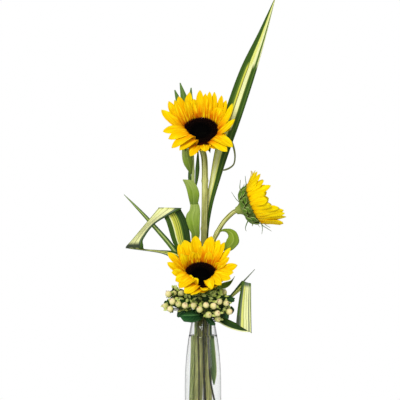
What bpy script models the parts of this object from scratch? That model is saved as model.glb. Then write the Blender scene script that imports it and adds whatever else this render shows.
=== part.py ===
"""Sunflowers in a vase: three cut sunflowers, flax leaves, a leafy stem and berried sprigs in clear glass.

Lengths are written in millimetres and scaled to metres by MM. +Z is up, the viewer's side is -Y, and the
origin is the centre of the vase's flat base.
"""

import math

import bmesh
import bpy
from mathutils import Vector

MM = 0.001
GAP = 0.3  # what touching pieces keep between them
STEM_GAP = 0.55  # between a stem's cut end and the flower, which meet at a slight angle
WELD = 0.00001  # metres within which points are one

# Vase and water.
VASE_HEIGHT = 292.0
BODY_RADIUS = 30.8
NECK_RADIUS = 19.4
GLASS = 2.8
BASE_THICKNESS = 9.0
WATER_LEVEL = 268.0
BODY_TOP = 180.0  # where the straight body starts to narrow
FOOT_ROUND = ((0.0, 8.0), (2.0, 2.5), (7.0, 0.0))  # inset and height of the rounded foot's points
RIM_ROUND = 0.8
RIM_DROP = 1.0
WALL_STEPS = 7

# Sunflower heads: centre of the disc's face, the way it faces, and its sizes. The inner petals' tips lie
# outside the disc by the reach and in front of it by the lift. Both are greater at the top of the head, by
# the shares spread and tilt. The drum is the thick part behind the petals, and depth is from the disc's face
# to the stem.
TOP_CENTRE = (-4.2, -18.0, 614.5)
TOP_FACING = (-0.05, -0.766, 0.643)
TOP_SIZES = {
    "disc": 30.0, "reach": 36.0, "spread": 0.0, "lift": 22.0, "tilt": 0.43,
    "neck": 5.3, "drum": 10.0, "depth": 31.0,
}
RIGHT_CENTRE = (95.2, 1.0, 493.4)
RIGHT_FACING = (0.932, -0.040, 0.361)
RIGHT_SIZES = {
    "disc": 29.0, "reach": 23.0, "spread": 0.12, "lift": 25.0, "tilt": -0.36,
    "neck": 4.0, "drum": 21.0, "depth": 41.0,
}
LOW_CENTRE = (-3.4, -42.0, 372.0)
LOW_FACING = (0.03, -0.760, 0.649)
LOW_SIZES = {
    "disc": 27.0, "reach": 29.0, "spread": 0.2, "lift": 23.0, "tilt": 0.33,
    "neck": 4.5, "drum": 10.0, "depth": 31.0,
}
LEAFY_STEM_RADIUS = 3.0

DISC_DEPTH = 8.0
PETALS = 14
PETAL_SHEET = 1.2
BRACT_SHEET = 1.0
PETAL_VALLEY = 0.72  # how far up the petals the notches between them reach
BRACT_VALLEY = 0.5

LEAF_SHEET = 0.9
LEAF_KEEL = 0.2  # depth of a leaf's fold as a share of its width
FLAT_KEEL = 0.1
BERRY_RADIUS = 5.4
BERRY_STRETCH = 1.12
SPRIG_RADIUS = 1.5
STALK_RADIUS = 0.85
STALK_SAG = 2.0
STALK_ABOVE_RIM = 6.0  # the lowest that a stalk leaves its stem

COLLECTION = "sunflowers_in_a_vase"


# ---------------------------------------------------------------- scene and materials


def clear_scene():
    for old in list(bpy.data.objects):
        bpy.data.objects.remove(old)


def new_collection(name):
    group = bpy.data.collections.new(name)
    bpy.context.scene.collection.children.link(group)
    return group


def new_material(name, colour, roughness, transmission=0.0):
    """A plain Principled material in the part's colour."""
    made = bpy.data.materials.new(name)
    made.use_nodes = True
    shader = made.node_tree.nodes["Principled BSDF"]
    shader.inputs["Base Color"].default_value = (*colour, 1.0)
    shader.inputs["Roughness"].default_value = roughness
    shader.inputs["Metallic"].default_value = 0.0
    shader.inputs["Transmission Weight"].default_value = transmission
    made.diffuse_color = (*colour, 1.0)
    return made


def add_object(name, data, material, group, parent=None):
    """Link an object of its own material, parented without moving."""
    made = bpy.data.objects.new(name, data)
    if material is not None:
        data.materials.append(material)
    group.objects.link(made)
    if parent is not None:
        made.parent = parent
    return made


# ---------------------------------------------------------------- shapes


def metres(point):
    return Vector(point) * MM


def smooth_route(route, steps):
    """Catmull-Rom points through a route, with the given steps in each stretch."""
    knots = [Vector(point) for point in route]
    ends = [knots[0] * 2 - knots[1], *knots, knots[-1] * 2 - knots[-2]]
    points = []
    for before, start, end, after in zip(ends, ends[1:], ends[2:], ends[3:]):
        for step in range(steps):
            t = step / steps
            points.append(
                0.5
                * (
                    2 * start
                    + (end - before) * t
                    + (2 * before - 5 * start + 4 * end - after) * t**2
                    + (3 * start - before - 3 * end + after) * t**3
                )
            )
    points.append(knots[-1])
    return points


def tube(name, route, radius, material, group, steps=2, sides=8):
    """A round stem along a smooth route."""
    curve = bpy.data.curves.new(name, "CURVE")
    curve.dimensions = "3D"
    curve.bevel_depth = radius * MM
    curve.bevel_resolution = sides // 2 - 2
    curve.use_fill_caps = True
    points = smooth_route(route, steps)
    spline = curve.splines.new("POLY")
    spline.points.add(len(points) - 1)
    for knot, point in zip(spline.points, points):
        knot.co = (*metres(point), 1.0)
    return add_object(name, curve, material, group)


def as_mesh(source, group):
    """Replace a curve object by a closed mesh object of the same name."""
    name = source.name
    evaluated = source.evaluated_get(bpy.context.evaluated_depsgraph_get())
    mesh = bpy.data.meshes.new_from_object(evaluated)
    shape = bmesh.new()
    shape.from_mesh(mesh)
    bmesh.ops.remove_doubles(shape, verts=shape.verts, dist=WELD)
    bmesh.ops.recalc_face_normals(shape, faces=shape.faces)
    shape.to_mesh(mesh)
    shape.free()
    place = source.matrix_world.copy()
    bpy.data.objects.remove(source)
    made = bpy.data.objects.new(name, mesh)
    made.matrix_world = place
    group.objects.link(made)
    return made


def turned(name, profile, material, group, parent=None, steps=32):
    """A profile of (radius, height), top to bottom on its outer side, turned about Z."""
    mesh = bpy.data.meshes.new(name)
    verts = [(radius * MM, 0.0, height * MM) for radius, height in profile]
    edges = [(index, index + 1) for index in range(len(verts) - 1)]
    mesh.from_pydata(verts, edges, [])
    made = add_object(name, mesh, material, group, parent)
    screw = made.modifiers.new("Turn", "SCREW")
    screw.axis = "Z"
    screw.steps = steps
    screw.render_steps = steps
    screw.use_merge_vertices = True
    screw.merge_threshold = WELD
    return made


def sheet(name, columns, rows, place, thickness, material, group, parent=None):
    """A thin solid: a grid whose points go where place(across, along) says, both running 0 to 1."""
    mesh = bpy.data.meshes.new(name)
    shape = bmesh.new()
    bmesh.ops.create_grid(shape, x_segments=columns, y_segments=rows, size=0.5)
    for vert in shape.verts:
        vert.co = metres(place(vert.co.x + 0.5, vert.co.y + 0.5))
    bmesh.ops.remove_doubles(shape, verts=shape.verts, dist=WELD)
    bmesh.ops.recalc_face_normals(shape, faces=shape.faces)
    shape.to_mesh(mesh)
    shape.free()
    made = add_object(name, mesh, material, group, parent)
    solidify = made.modifiers.new("Thickness", "SOLIDIFY")
    solidify.thickness = thickness * MM
    solidify.offset = 0.0
    return made


def between(rows, along):
    """Linear interpolation in a list of tuples of points or numbers."""
    place = min(along, 1.0) * (len(rows) - 1)
    index = min(int(place), len(rows) - 2)
    share = place - index
    mixed = []
    for start, end in zip(rows[index], rows[index + 1]):
        if isinstance(start, (int, float)):
            mixed.append(start + (end - start) * share)
        else:
            mixed.append(Vector(start).lerp(Vector(end), share))
    return mixed


def ribbon(name, rows, material, group, thickness=LEAF_SHEET):
    """A leaf blade through rows of (left edge, right edge, keel): its midrib drops back by the keel."""
    near = 0.02  # the share of the length over which the blade's run is measured

    def place(across, along):
        left, right, keel = between(rows, along)
        later = between(rows, min(along + near, 1.0))
        sooner = between(rows, max(along - near, 0.0))
        run = (later[0] + later[1]) - (sooner[0] + sooner[1])
        back = (right - left).cross(run).normalized()
        return left.lerp(right, across) + back * keel * (1.0 - abs(2.0 * across - 1.0))

    return sheet(name, 2, len(rows) - 1, place, thickness, material, group)


def blade(name, route, widths, facing, material, group, keel=LEAF_KEEL):
    """A leaf along a route, as wide as widths says, its face turned towards the facing vector."""
    points = smooth_route(route, 2)
    last = len(points) - 1
    stations = [(width,) for width in widths]
    rows = []
    for index, point in enumerate(points):
        (width,) = between(stations, index / last)
        run = points[min(index + 1, last)] - points[max(index - 1, 0)]
        side = run.cross(Vector(facing)).normalized() * (0.5 * width)
        rows.append((point - side, point + side, keel * width))
    return ribbon(name, rows, material, group)


def lobed_ring(
    name, lobes, profile, valley, thickness, material, group, parent, turn=0.0, spread=0.0, tilt=0.0
):
    """Petals or bracts joined at their bases: a dished ring whose edge runs from tips to valleys.

    It grows wider by the share spread, and taller by the share tilt, towards the top of the head.
    """
    inside, base = profile[0]

    def place(across, along):
        step = round(across * 2 * lobes)
        reach = 1.0 if step % 2 == 0 else valley
        radius, height = between(profile, along * reach)
        angle = math.tau * across + turn
        radius = inside + (radius - inside) * (1.0 + spread * math.sin(angle))
        height = base + (height - base) * (1.0 + tilt * math.sin(angle))
        return (radius * math.cos(angle), radius * math.sin(angle), height)

    return sheet(name, 2 * lobes, len(profile) - 1, place, thickness, material, group, parent)


# ---------------------------------------------------------------- vase and water


def outer_radius(height):
    """The vase's outside: straight below BODY_TOP, then narrowing ever faster up to the rim."""
    rise = max(0.0, height - BODY_TOP) / (VASE_HEIGHT - BODY_TOP)
    return BODY_RADIUS - (BODY_RADIUS - NECK_RADIUS) * rise * rise


def wall_profile(inset, bottom, top):
    """The vase's wall from top to bottom, moved inwards by the inset."""
    points = []
    for index in range(WALL_STEPS + 1):
        height = top + (BODY_TOP - top) * index / WALL_STEPS
        points.append((outer_radius(height) - inset, height))
    for inwards, height in FOOT_ROUND:
        points.append((BODY_RADIUS - inset - inwards, bottom + height))
    points.append((0.0, bottom))
    return points


def make_vase(materials, group):
    outer = wall_profile(0.0, 0.0, VASE_HEIGHT - RIM_DROP)
    inner = wall_profile(GLASS, BASE_THICKNESS, VASE_HEIGHT - RIM_DROP)
    rim = [(NECK_RADIUS - GLASS + RIM_ROUND, VASE_HEIGHT), (NECK_RADIUS - RIM_ROUND, VASE_HEIGHT)]
    return turned("vase", [*reversed(inner), *rim, *outer], materials["glass"], group)


def grown(rows, by):
    """A ribbon's rows with the blade's edges moved outwards and its lower end made longer."""
    wider = []
    for left, right, keel in rows:
        step = (Vector(right) - Vector(left)).normalized() * by
        wider.append((Vector(left) - step, Vector(right) + step, keel))
    down = Vector((0.0, 0.0, 2.5 * by))
    left, right, keel = wider[0]
    wider[0] = (left - down, right - down, keel)
    return wider


def make_water(stems, blades, materials, group, cutters):
    """The water fills the inside up to its level and leaves a gap round each stem and blade."""
    body = [(0.0, WATER_LEVEL), *wall_profile(GLASS + GAP, BASE_THICKNESS + GAP, WATER_LEVEL)]
    water = turned("water", body, materials["water"], group)
    longer = 0.02  # the share of its first stretch by which each space passes the stem's foot
    spaces = []
    for name, route, radius in stems:
        foot = Vector(route[0]).lerp(Vector(route[1]), -longer)
        space = tube(name + "_space", [foot, *route[1:]], radius + 2 * GAP, None, cutters)
        spaces.append((name, as_mesh(space, cutters)))
    for name, rows in blades:
        space = ribbon(name + "_space", grown(rows, 2 * GAP), None, cutters, LEAF_SHEET + 5 * GAP)
        spaces.append((name, space))
    for name, cutter in spaces:
        cutter.hide_render = True
        cutter.display_type = "WIRE"
        cut = water.modifiers.new("Room for " + name, "BOOLEAN")
        cut.operation = "DIFFERENCE"
        cut.solver = "EXACT"
        cut.object = cutter
    return water


# ---------------------------------------------------------------- sunflowers


def head_frame(name, centre, facing, group):
    """An empty whose +Z looks the way the flower faces."""
    empty = bpy.data.objects.new(name, None)
    empty.empty_display_size = 0.03
    empty.location = metres(centre)
    empty.rotation_euler = Vector(facing).to_track_quat("Z", "Y").to_euler()
    group.objects.link(empty)
    return empty


def make_head(name, centre, facing, sizes, materials, group):
    """Disc, receptacle, bracts and two rings of petals."""
    head = head_frame(name + "_head", centre, facing, group)
    disc, reach, lift, neck = (sizes[key] for key in ("disc", "reach", "lift", "neck"))
    back = -DISC_DEPTH - GAP
    behind = back - sizes["drum"]
    turned(
        name + "_disc",
        [
            (0.0, 0.0),
            (0.55 * disc, 1.0),
            (0.82 * disc, 3.0),
            (0.96 * disc, 1.5),
            (disc, -2.0),
            (disc, -DISC_DEPTH + 1.0),
            (disc - 2.0, -DISC_DEPTH),
            (0.0, -DISC_DEPTH),
        ],
        materials["disc"],
        group,
        head,
        24,
    )
    turned(
        name + "_receptacle",
        [
            (0.0, back),
            (disc + 4.0, back),
            (disc + 4.0, back - 2.5),
            (disc + 1.0, back - 0.5 * sizes["drum"]),
            (0.76 * disc, behind),
            (0.42 * disc, behind - 2.5),
            (neck + 2.5, behind - 6.0),
            (neck + 0.6, -sizes["depth"]),
            (0.0, -sizes["depth"]),
        ],
        materials["green"],
        group,
        head,
        20,
    )
    base = -DISC_DEPTH + 0.4
    inner = [
        (disc + 1.1, base),
        (disc + 1.6, base + 5.0),
        (disc + 0.55 * reach, base + 0.55 * lift + 4.0),
        (disc + reach, base + lift + 3.0),
    ]
    outer = [
        (disc + 2.9, base),
        (disc + 4.5, base + 3.0),
        (disc + 0.55 * reach + 2.0, base + 0.42 * lift + 1.0),
        (disc + reach - 1.0, base + 0.78 * lift),
    ]
    bracts = [
        (disc + 5.1, back - 1.5),
        (disc + 9.0, back - 0.5),
        (disc + 0.42 * reach + 4.0, back + 0.12 * lift),
    ]
    gold = materials["petal"]
    green = materials["green"]
    turn, spread, tilt = math.pi / PETALS, sizes["spread"], sizes["tilt"]
    for ring, profile, start in (("_inner_petals", inner, 0.0), ("_outer_petals", outer, turn)):
        lobed_ring(
            name + ring, PETALS, profile, PETAL_VALLEY, PETAL_SHEET, gold, group, head, start, spread, tilt
        )
    lobed_ring(name + "_bracts", PETALS, bracts, BRACT_VALLEY, BRACT_SHEET, green, group, head)


def stem_end(centre, facing, sizes, extra=0.0):
    """A point on the flower's axis, extra behind the face where its stem begins."""
    return Vector(centre) - Vector(facing).normalized() * (sizes["depth"] + STEM_GAP + extra)


TOP_STEM = [
    (-9.0, 7.0, 24.0),
    (-6.0, 7.5, 150.0),
    (-3.5, 7.2, 288.0),
    (0.5, 8.0, 370.0),
    (2.0, 9.0, 440.0),
    (3.4, 10.5, 520.0),
    (2.6, 12.0, 566.0),
    stem_end(TOP_CENTRE, TOP_FACING, TOP_SIZES, 14.0),
    stem_end(TOP_CENTRE, TOP_FACING, TOP_SIZES, 4.0),
    stem_end(TOP_CENTRE, TOP_FACING, TOP_SIZES),
]
RIGHT_STEM = [
    (10.5, -3.0, 20.0),
    (8.0, -2.0, 150.0),
    (5.4, -1.5, 288.0),
    (9.0, 2.0, 350.0),
    (16.0, 4.0, 418.0),
    (22.5, 3.0, 438.0),
    (33.5, 0.5, 457.5),
    (42.0, 2.0, 467.3),
    (47.6, 2.6, 472.8),
    stem_end(RIGHT_CENTRE, RIGHT_FACING, RIGHT_SIZES, 4.0),
    stem_end(RIGHT_CENTRE, RIGHT_FACING, RIGHT_SIZES),
]
LOW_STEM = [
    (-7.5, -8.0, 30.0),
    (-6.5, -6.0, 150.0),
    (-5.4, -4.6, 288.0),
    (-5.0, -8.0, 322.0),
    stem_end(LOW_CENTRE, LOW_FACING, LOW_SIZES, 9.0),
    stem_end(LOW_CENTRE, LOW_FACING, LOW_SIZES, 4.0),
    stem_end(LOW_CENTRE, LOW_FACING, LOW_SIZES),
]


# ---------------------------------------------------------------- leafy stem

LEAFY_STEM = [
    (-16.5, 3.5, 34.0),
    (-14.5, 3.0, 150.0),
    (-12.0, 2.6, 288.0),
    (-15.5, 8.0, 380.0),
    (-17.0, 12.0, 450.0),
    (-17.2, 13.0, 540.0),
    (-20.0, 19.0, 600.0),
    (-26.5, 26.0, 652.0),
]

# Leaves of the leafy stem: route from the base, widths, and the way the face looks.
LEAFY_LEAVES = {
    "lower_clasping_leaf": (
        [(-12.6, 6.6, 420.0), (-13.4, 5.4, 436.0), (-16.9, 4.0, 459.0), (-13.4, 5.0, 473.0),
         (-9.4, 6.6, 484.0)],
        [8.0, 13.0, 18.0, 22.5, 21.0, 15.0, 9.0, 5.0, 2.0],
        (0.0, -1.0, 0.0),
    ),
    "upper_clasping_leaf": (
        [(-17.6, 8.6, 484.0), (-16.2, 5.6, 494.0), (-16.8, 3.6, 511.0), (-22.5, -0.5, 526.0),
         (-33.5, -4.0, 531.6)],
        [8.0, 14.0, 18.0, 21.5, 19.0, 15.0, 9.0, 2.0],
        (0.2, -1.0, 0.1),
    ),
    "dark_side_leaf": (
        [(-12.3, 12.6, 522.0), (-10.2, 12.0, 540.0), (-9.0, 13.0, 560.0), (-8.6, 15.0, 580.0)],
        [3.0, 6.5, 7.5, 5.0, 2.0],
        (0.3, -1.0, 0.0),
    ),
    "narrow_side_leaf": (
        [(-21.4, 12.6, 524.0), (-22.8, 12.0, 536.0), (-23.4, 12.0, 552.0)],
        [2.5, 5.5, 5.0, 1.5],
        (-0.3, -1.0, 0.0),
    ),
    "curled_side_leaf": (
        [(-20.4, 10.0, 542.0), (-23.2, 7.6, 553.0), (-26.6, 5.0, 566.0), (-30.0, 4.0, 584.0)],
        [3.0, 10.0, 16.0, 18.0, 12.0],
        (0.3, -1.0, 0.2),
    ),
    "tip_leaf_left": (
        [(-30.4, 24.0, 640.0), (-36.0, 24.0, 655.0), (-42.0, 25.0, 668.0), (-48.4, 25.0, 686.0)],
        [4.0, 11.0, 13.0, 8.0, 1.6],
        (0.2, -1.0, 0.0),
    ),
    "tip_leaf_middle": (
        [(-27.4, 21.6, 649.0), (-30.0, 20.6, 662.0), (-34.5, 21.0, 680.0), (-39.2, 22.0, 698.0)],
        [4.0, 11.0, 12.0, 7.0, 1.6],
        (0.0, -1.0, 0.0),
    ),
    "tip_leaf_right": (
        [(-21.0, 25.6, 646.0), (-20.6, 26.0, 662.0), (-21.0, 27.0, 676.0), (-20.2, 27.0, 690.0)],
        [3.0, 7.0, 7.0, 5.0, 1.6],
        (0.0, -1.0, 0.0),
    ),
}


# ---------------------------------------------------------------- flax leaves

# Rows of (left edge, right edge, keel), from base to tip.
TALL_FLAX = [
    ((7.2, 11.6, 210.0), (13.0, 6.2, 210.0), 0.8),
    ((7.2, 11.6, 290.0), (13.0, 6.2, 290.0), 0.8),
    ((4.0, 15.6, 360.0), (13.0, 12.4, 360.0), 1.2),
    ((-0.5, 17.5, 430.0), (9.0, 16.5, 430.0), 1.6),
    ((3.5, 18.6, 485.0), (15.5, 18.0, 483.0), 2.2),
    ((11.9, 20.0, 532.0), (29.0, 19.0, 531.0), 2.8),
    ((20.5, 22.0, 583.0), (45.5, 21.0, 581.0), 3.2),
    ((37.5, 25.0, 648.0), (66.5, 24.0, 640.0), 3.2),
    ((64.0, 27.0, 722.0), (91.0, 26.0, 716.0), 2.6),
    ((95.0, 29.0, 784.5), (108.5, 28.5, 779.0), 1.6),
    ((122.0, 31.0, 842.0), (124.0, 31.0, 841.5), 0.2),
]
LEFT_FLAX = [
    ((-11.0, 10.9, 271.0), (-5.4, 14.8, 271.0), 0.2),
    ((-11.4, 10.9, 292.0), (-5.6, 15.0, 292.0), 0.2),
    ((-22.0, 12.0, 350.0), (-11.0, 15.0, 350.0), -0.4),
    ((-36.5, 8.0, 398.0), (-19.5, 10.5, 396.0), -0.6),
    ((-51.5, 3.0, 425.0), (-21.5, 4.6, 425.0), -0.6),
    ((-62.5, 0.5, 460.0), (-29.0, 2.0, 458.0), -0.6),
    ((-74.5, -2.0, 481.5), (-37.0, 0.0, 480.0), -0.3),
    ((-75.4, -5.0, 484.0), (-36.6, -3.0, 483.4), 0.0),
    ((-77.5, -8.5, 481.0), (-41.0, -6.5, 480.0), 0.3),
    ((-99.0, -14.0, 455.0), (-80.0, -3.0, 458.0), 0.6),
    ((-119.0, -17.0, 431.0), (-100.5, -8.0, 432.0), 0.6),
    ((-129.0, -18.5, 420.0), (-101.0, -13.0, 420.5), 0.3),
    ((-130.0, -16.0, 416.6), (-100.6, -10.0, 415.6), 0.0),
    ((-126.0, -12.5, 415.0), (-97.0, -6.0, 413.6), 0.0),
    ((-74.0, -8.5, 407.5), (-76.0, 8.5, 411.6), -0.3),
    ((-50.0, -11.0, 398.0), (-46.0, 1.5, 409.0), -0.4),
    ((-30.0, -5.0, 390.0), (-28.0, 4.2, 394.0), -0.2),
]
LEFT_SPIKE = [
    ((-10.6, -7.8, 271.0), (-12.2, -3.2, 271.0), 0.2),
    ((-10.7, -8.0, 292.0), (-12.4, -3.4, 292.0), 0.2),
    ((-22.0, -3.0, 333.0), (-16.5, 0.5, 335.0), 0.5),
    ((-39.0, 4.5, 377.5), (-31.0, 7.5, 380.5), 0.9),
    ((-53.0, 9.0, 409.3), (-46.0, 10.5, 415.1), 1.1),
    ((-92.6, 10.0, 457.6), (-87.5, 11.0, 462.0), 0.8),
    ((-116.6, 11.0, 485.3), (-113.6, 11.5, 487.8), 0.4),
    ((-135.6, 12.0, 506.4), (-134.9, 12.0, 507.0), 0.1),
]
RIGHT_FLAX = [
    ((15.6, -3.6, 184.0), (14.2, -4.2, 184.0), 0.0),
    ((18.6, -2.4, 204.0), (11.0, -6.2, 204.0), 0.6),
    ((17.4, -1.8, 232.0), (9.8, -7.2, 232.0), 0.6),
    ((15.2, -1.8, 262.0), (10.0, -7.8, 262.0), 0.5),
    ((14.8, -2.6, 290.0), (10.6, -8.4, 290.0), 0.5),
    ((19.0, -5.0, 304.5), (14.6, -12.0, 299.0), 0.6),
    ((30.0, -10.0, 302.0), (25.0, -17.0, 291.6), 0.8),
    ((44.0, -18.0, 295.2), (43.0, -22.0, 281.6), 0.9),
    ((56.0, -19.0, 289.6), (64.0, -22.0, 275.6), 0.6),
    ((57.0, -22.5, 290.0), (80.5, -22.8, 274.8), 0.0),
    ((55.8, -25.5, 291.4), (81.6, -25.5, 276.0), -0.6),
    ((59.0, -26.0, 320.0), (81.0, -26.0, 312.0), -2.2),
    ((63.5, -25.0, 347.6), (80.8, -25.0, 346.0), -2.2),
    ((65.4, -23.0, 357.6), (80.9, -23.0, 354.6), -0.6),
    ((65.8, -20.0, 360.0), (80.0, -19.0, 356.4), 0.0),
    ((63.6, -17.0, 358.4), (74.0, -15.0, 352.0), 0.6),
    ((45.0, -11.0, 334.0), (50.0, -6.0, 332.0), 0.4),
    ((33.0, -9.0, 318.0), (38.0, -4.0, 316.0), 0.2),
]
RIGHT_SPIKE = [
    ((38.6, -4.9, 327.0), (41.4, -3.9, 325.4), 0.1),
    ((51.0, -7.9, 342.0), (53.8, -7.1, 340.2), 0.2),
    ((66.5, -11.0, 359.0), (68.6, -10.5, 357.4), 0.2),
    ((87.2, -13.0, 380.2), (88.0, -13.0, 379.6), 0.0),
]

CURLED_TOP_LEAF = (
    [(36.0, -4.0, 600.0), (47.6, -3.0, 597.0), (54.2, 0.0, 576.0), (52.0, 6.0, 558.0),
     (40.0, 14.0, 549.5), (33.0, 17.8, 548.2)],
    [2.4, 3.6, 3.8, 3.2, 2.0],
    (0.8, -1.0, 0.2),
)
CURLED_RIGHT_LEAF = (
    [(27.6, -2.5, 442.2), (33.0, -4.4, 445.4), (43.0, -8.0, 445.4), (53.5, -12.0, 439.0),
     (54.0, -10.0, 427.0), (44.0, -4.0, 417.0), (33.0, 2.0, 416.0)],
    [2.2, 3.0, 5.0, 13.0, 20.0, 14.0, 3.0],
    (0.15, -1.0, -0.1),
)


# ---------------------------------------------------------------- berried sprigs

# Each sprig: its stem's route, then the centres of its berries.
SPRIGS = {
    "left_berry_sprig": (
        [(-7.0, -15.0, 120.0), (-6.0, -13.6, 200.0), (-8.0, -11.6, 286.0), (-9.4, -12.4, 296.0),
         (-20.0, -22.0, 309.0), (-36.0, -28.0, 318.0), (-47.0, -27.0, 330.0)],
        [(-62.9, -26.0, 318.7), (-55.1, -38.0, 314.6), (-51.2, -40.0, 327.5), (-41.1, -44.0, 323.6),
         (-30.3, -48.0, 321.4), (-49.0, -18.0, 339.0), (-58.0, -29.0, 339.0), (-37.0, -25.0, 340.0)],
    ),
    "middle_berry_sprig": (
        [(2.0, -14.0, 110.0), (1.4, -13.4, 200.0), (0.8, -13.2, 286.0), (1.0, -14.4, 296.0),
         (2.0, -26.0, 305.0), (4.0, -40.0, 308.0), (4.0, -50.0, 314.0)],
        [(-5.6, -60.0, 315.5), (4.8, -64.0, 323.0), (17.0, -58.0, 321.0), (9.2, -66.0, 307.1),
         (-15.0, -50.0, 321.0)],
    ),
    "right_berry_sprig": (
        [(20.6, 2.0, 96.0), (18.0, -2.0, 140.0), (9.8, -10.4, 200.0), (7.0, -12.8, 286.0),
         (7.4, -13.6, 296.0), (15.0, -25.0, 306.0), (27.0, -31.0, 317.0), (31.0, -30.0, 329.0)],
        [(23.8, -52.0, 308.5), (24.6, -44.0, 298.2), (38.6, -42.0, 324.5), (43.9, -38.0, 310.2),
         (27.0, -46.0, 327.5), (35.5, -27.0, 342.0), (22.8, -26.0, 341.0)],
    ),
    "back_berry_sprig": (
        [(3.0, 18.0, 120.0), (2.8, 15.8, 200.0), (1.6, 14.6, 286.0), (1.6, 15.2, 297.0), (0.0, 26.0, 307.0),
         (-4.0, 36.0, 318.0)],
        [(-16.0, 44.0, 322.0), (-4.0, 50.0, 326.0), (9.0, 46.0, 318.0), (-8.0, 38.0, 336.0),
         (18.0, 36.0, 327.0)],
    ),
}

# Broad leaves under the berries: route from the base, widths and facing.
COLLAR_LEAVES = {
    "large_collar_leaf": (
        [(0.5, -28.0, 303.6), (-8.0, -34.0, 303.6), (-18.0, -38.0, 303.0), (-29.0, -34.0, 302.6),
         (-38.0, -28.0, 302.0)],
        [3.0, 20.0, 26.0, 22.0, 3.0],
        (0.0, -0.82, 0.57),
    ),
    "small_left_leaf": (
        [(-30.4, -24.6, 313.4), (-37.0, -22.0, 307.0), (-43.0, -20.0, 300.0)],
        [3.0, 11.0, 12.0, 3.0],
        (0.0, -1.0, 0.3),
    ),
    "front_tip_leaf": (
        [(3.4, -29.2, 303.0), (9.0, -33.0, 297.0), (14.5, -34.0, 291.5), (20.5, -33.0, 288.0)],
        [3.0, 9.0, 10.0, 3.0],
        (0.2, -1.0, 0.3),
    ),
    "upper_right_leaf": (
        [(33.4, -30.0, 323.0), (38.0, -31.0, 328.0), (45.0, -30.0, 331.0), (52.5, -27.0, 327.0)],
        [3.0, 12.0, 13.0, 3.0],
        (0.1, -1.0, 0.4),
    ),
    "lower_right_leaf": (
        [(27.4, -29.4, 315.0), (34.6, -25.0, 309.0), (39.0, -24.0, 303.0), (42.0, -24.0, 297.0)],
        [3.0, 10.0, 11.0, 3.0],
        (0.1, -1.0, 0.2),
    ),
    "back_collar_leaf": (
        [(1.0, 28.4, 304.0), (10.0, 36.0, 305.0), (20.0, 38.0, 303.0), (32.0, 34.0, 299.0)],
        [4.0, 20.0, 22.0, 3.0],
        (0.0, 0.82, 0.57),
    ),
}


def make_berry(name, centre, towards, cutters):
    """A berry, slightly long, pointing away from its stalk."""
    mesh = bpy.data.meshes.new(name)
    shape = bmesh.new()
    bmesh.ops.create_icosphere(shape, subdivisions=2, radius=BERRY_RADIUS * MM)
    bmesh.ops.scale(shape, vec=(1.0, 1.0, BERRY_STRETCH), verts=shape.verts)
    turn = (Vector(centre) - Vector(towards)).to_track_quat("Z", "Y").to_matrix()
    bmesh.ops.transform(shape, matrix=turn.to_4x4(), verts=shape.verts)
    shape.to_mesh(mesh)
    shape.free()
    made = add_object(name, mesh, None, cutters)
    made.location = metres(centre)
    return made


def nearest_below(points, centre):
    """The stem point where a berry's stalk leaves: near the berry and lower than it."""
    target = Vector(centre)
    drop = 4.0
    too_high = 2.0

    def cost(point):
        return (point - target).length + too_high * max(0.0, point.z - target.z + drop)

    return min(points, key=cost)


def make_sprig(name, route, berries, materials, group, cutters):
    """A woody stem with a stalk to each berry, all joined into one body."""
    main = as_mesh(tube(name, route, SPRIG_RADIUS, None, group, 2, 6), group)
    main.data.materials.clear()
    main.data.materials.append(materials["berry"])
    joined = bpy.data.collections.new(name + "_pieces")
    cutters.children.link(joined)
    lowest = VASE_HEIGHT + STALK_ABOVE_RIM
    stem_points = [point for point in smooth_route(route, 5)[:-1] if point.z > lowest]
    for number, centre in enumerate(berries):
        start = nearest_below(stem_points, centre)
        stem_points.remove(start)
        middle = start.lerp(Vector(centre), 0.5) - Vector((0.0, 0.0, STALK_SAG))
        bend = [start, middle, centre]
        stalk = as_mesh(tube(f"{name}_stalk_{number}", bend, STALK_RADIUS, None, joined, 1, 6), joined)
        berry = make_berry(f"{name}_berry_{number}", centre, middle, joined)
        for piece in (stalk, berry):
            piece.hide_render = True
            piece.display_type = "WIRE"
            join = main.modifiers.new("Join " + piece.name, "BOOLEAN")
            join.operation = "UNION"
            join.solver = "MANIFOLD"
            join.object = piece


def make_materials():
    return {
        "glass": new_material("clear glass", (0.92, 0.96, 0.95), 0.02, 1.0),
        "water": new_material("water", (0.85, 0.93, 0.88), 0.02, 1.0),
        "stem": new_material("stem", (0.36, 0.38, 0.10), 0.55),
        "green": new_material("receptacle", (0.20, 0.36, 0.07), 0.6),
        "disc": new_material("disc", (0.035, 0.015, 0.010), 0.9),
        "petal": new_material("petal", (0.95, 0.62, 0.01), 0.5),
        "leafy": new_material("leafy stem leaf", (0.26, 0.45, 0.09), 0.45),
        "flax": new_material("flax leaf", (0.22, 0.34, 0.12), 0.45),
        "dark": new_material("collar leaf", (0.03, 0.16, 0.05), 0.3),
        "berry": new_material("berry sprig", (0.72, 0.70, 0.38), 0.35),
    }


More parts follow.
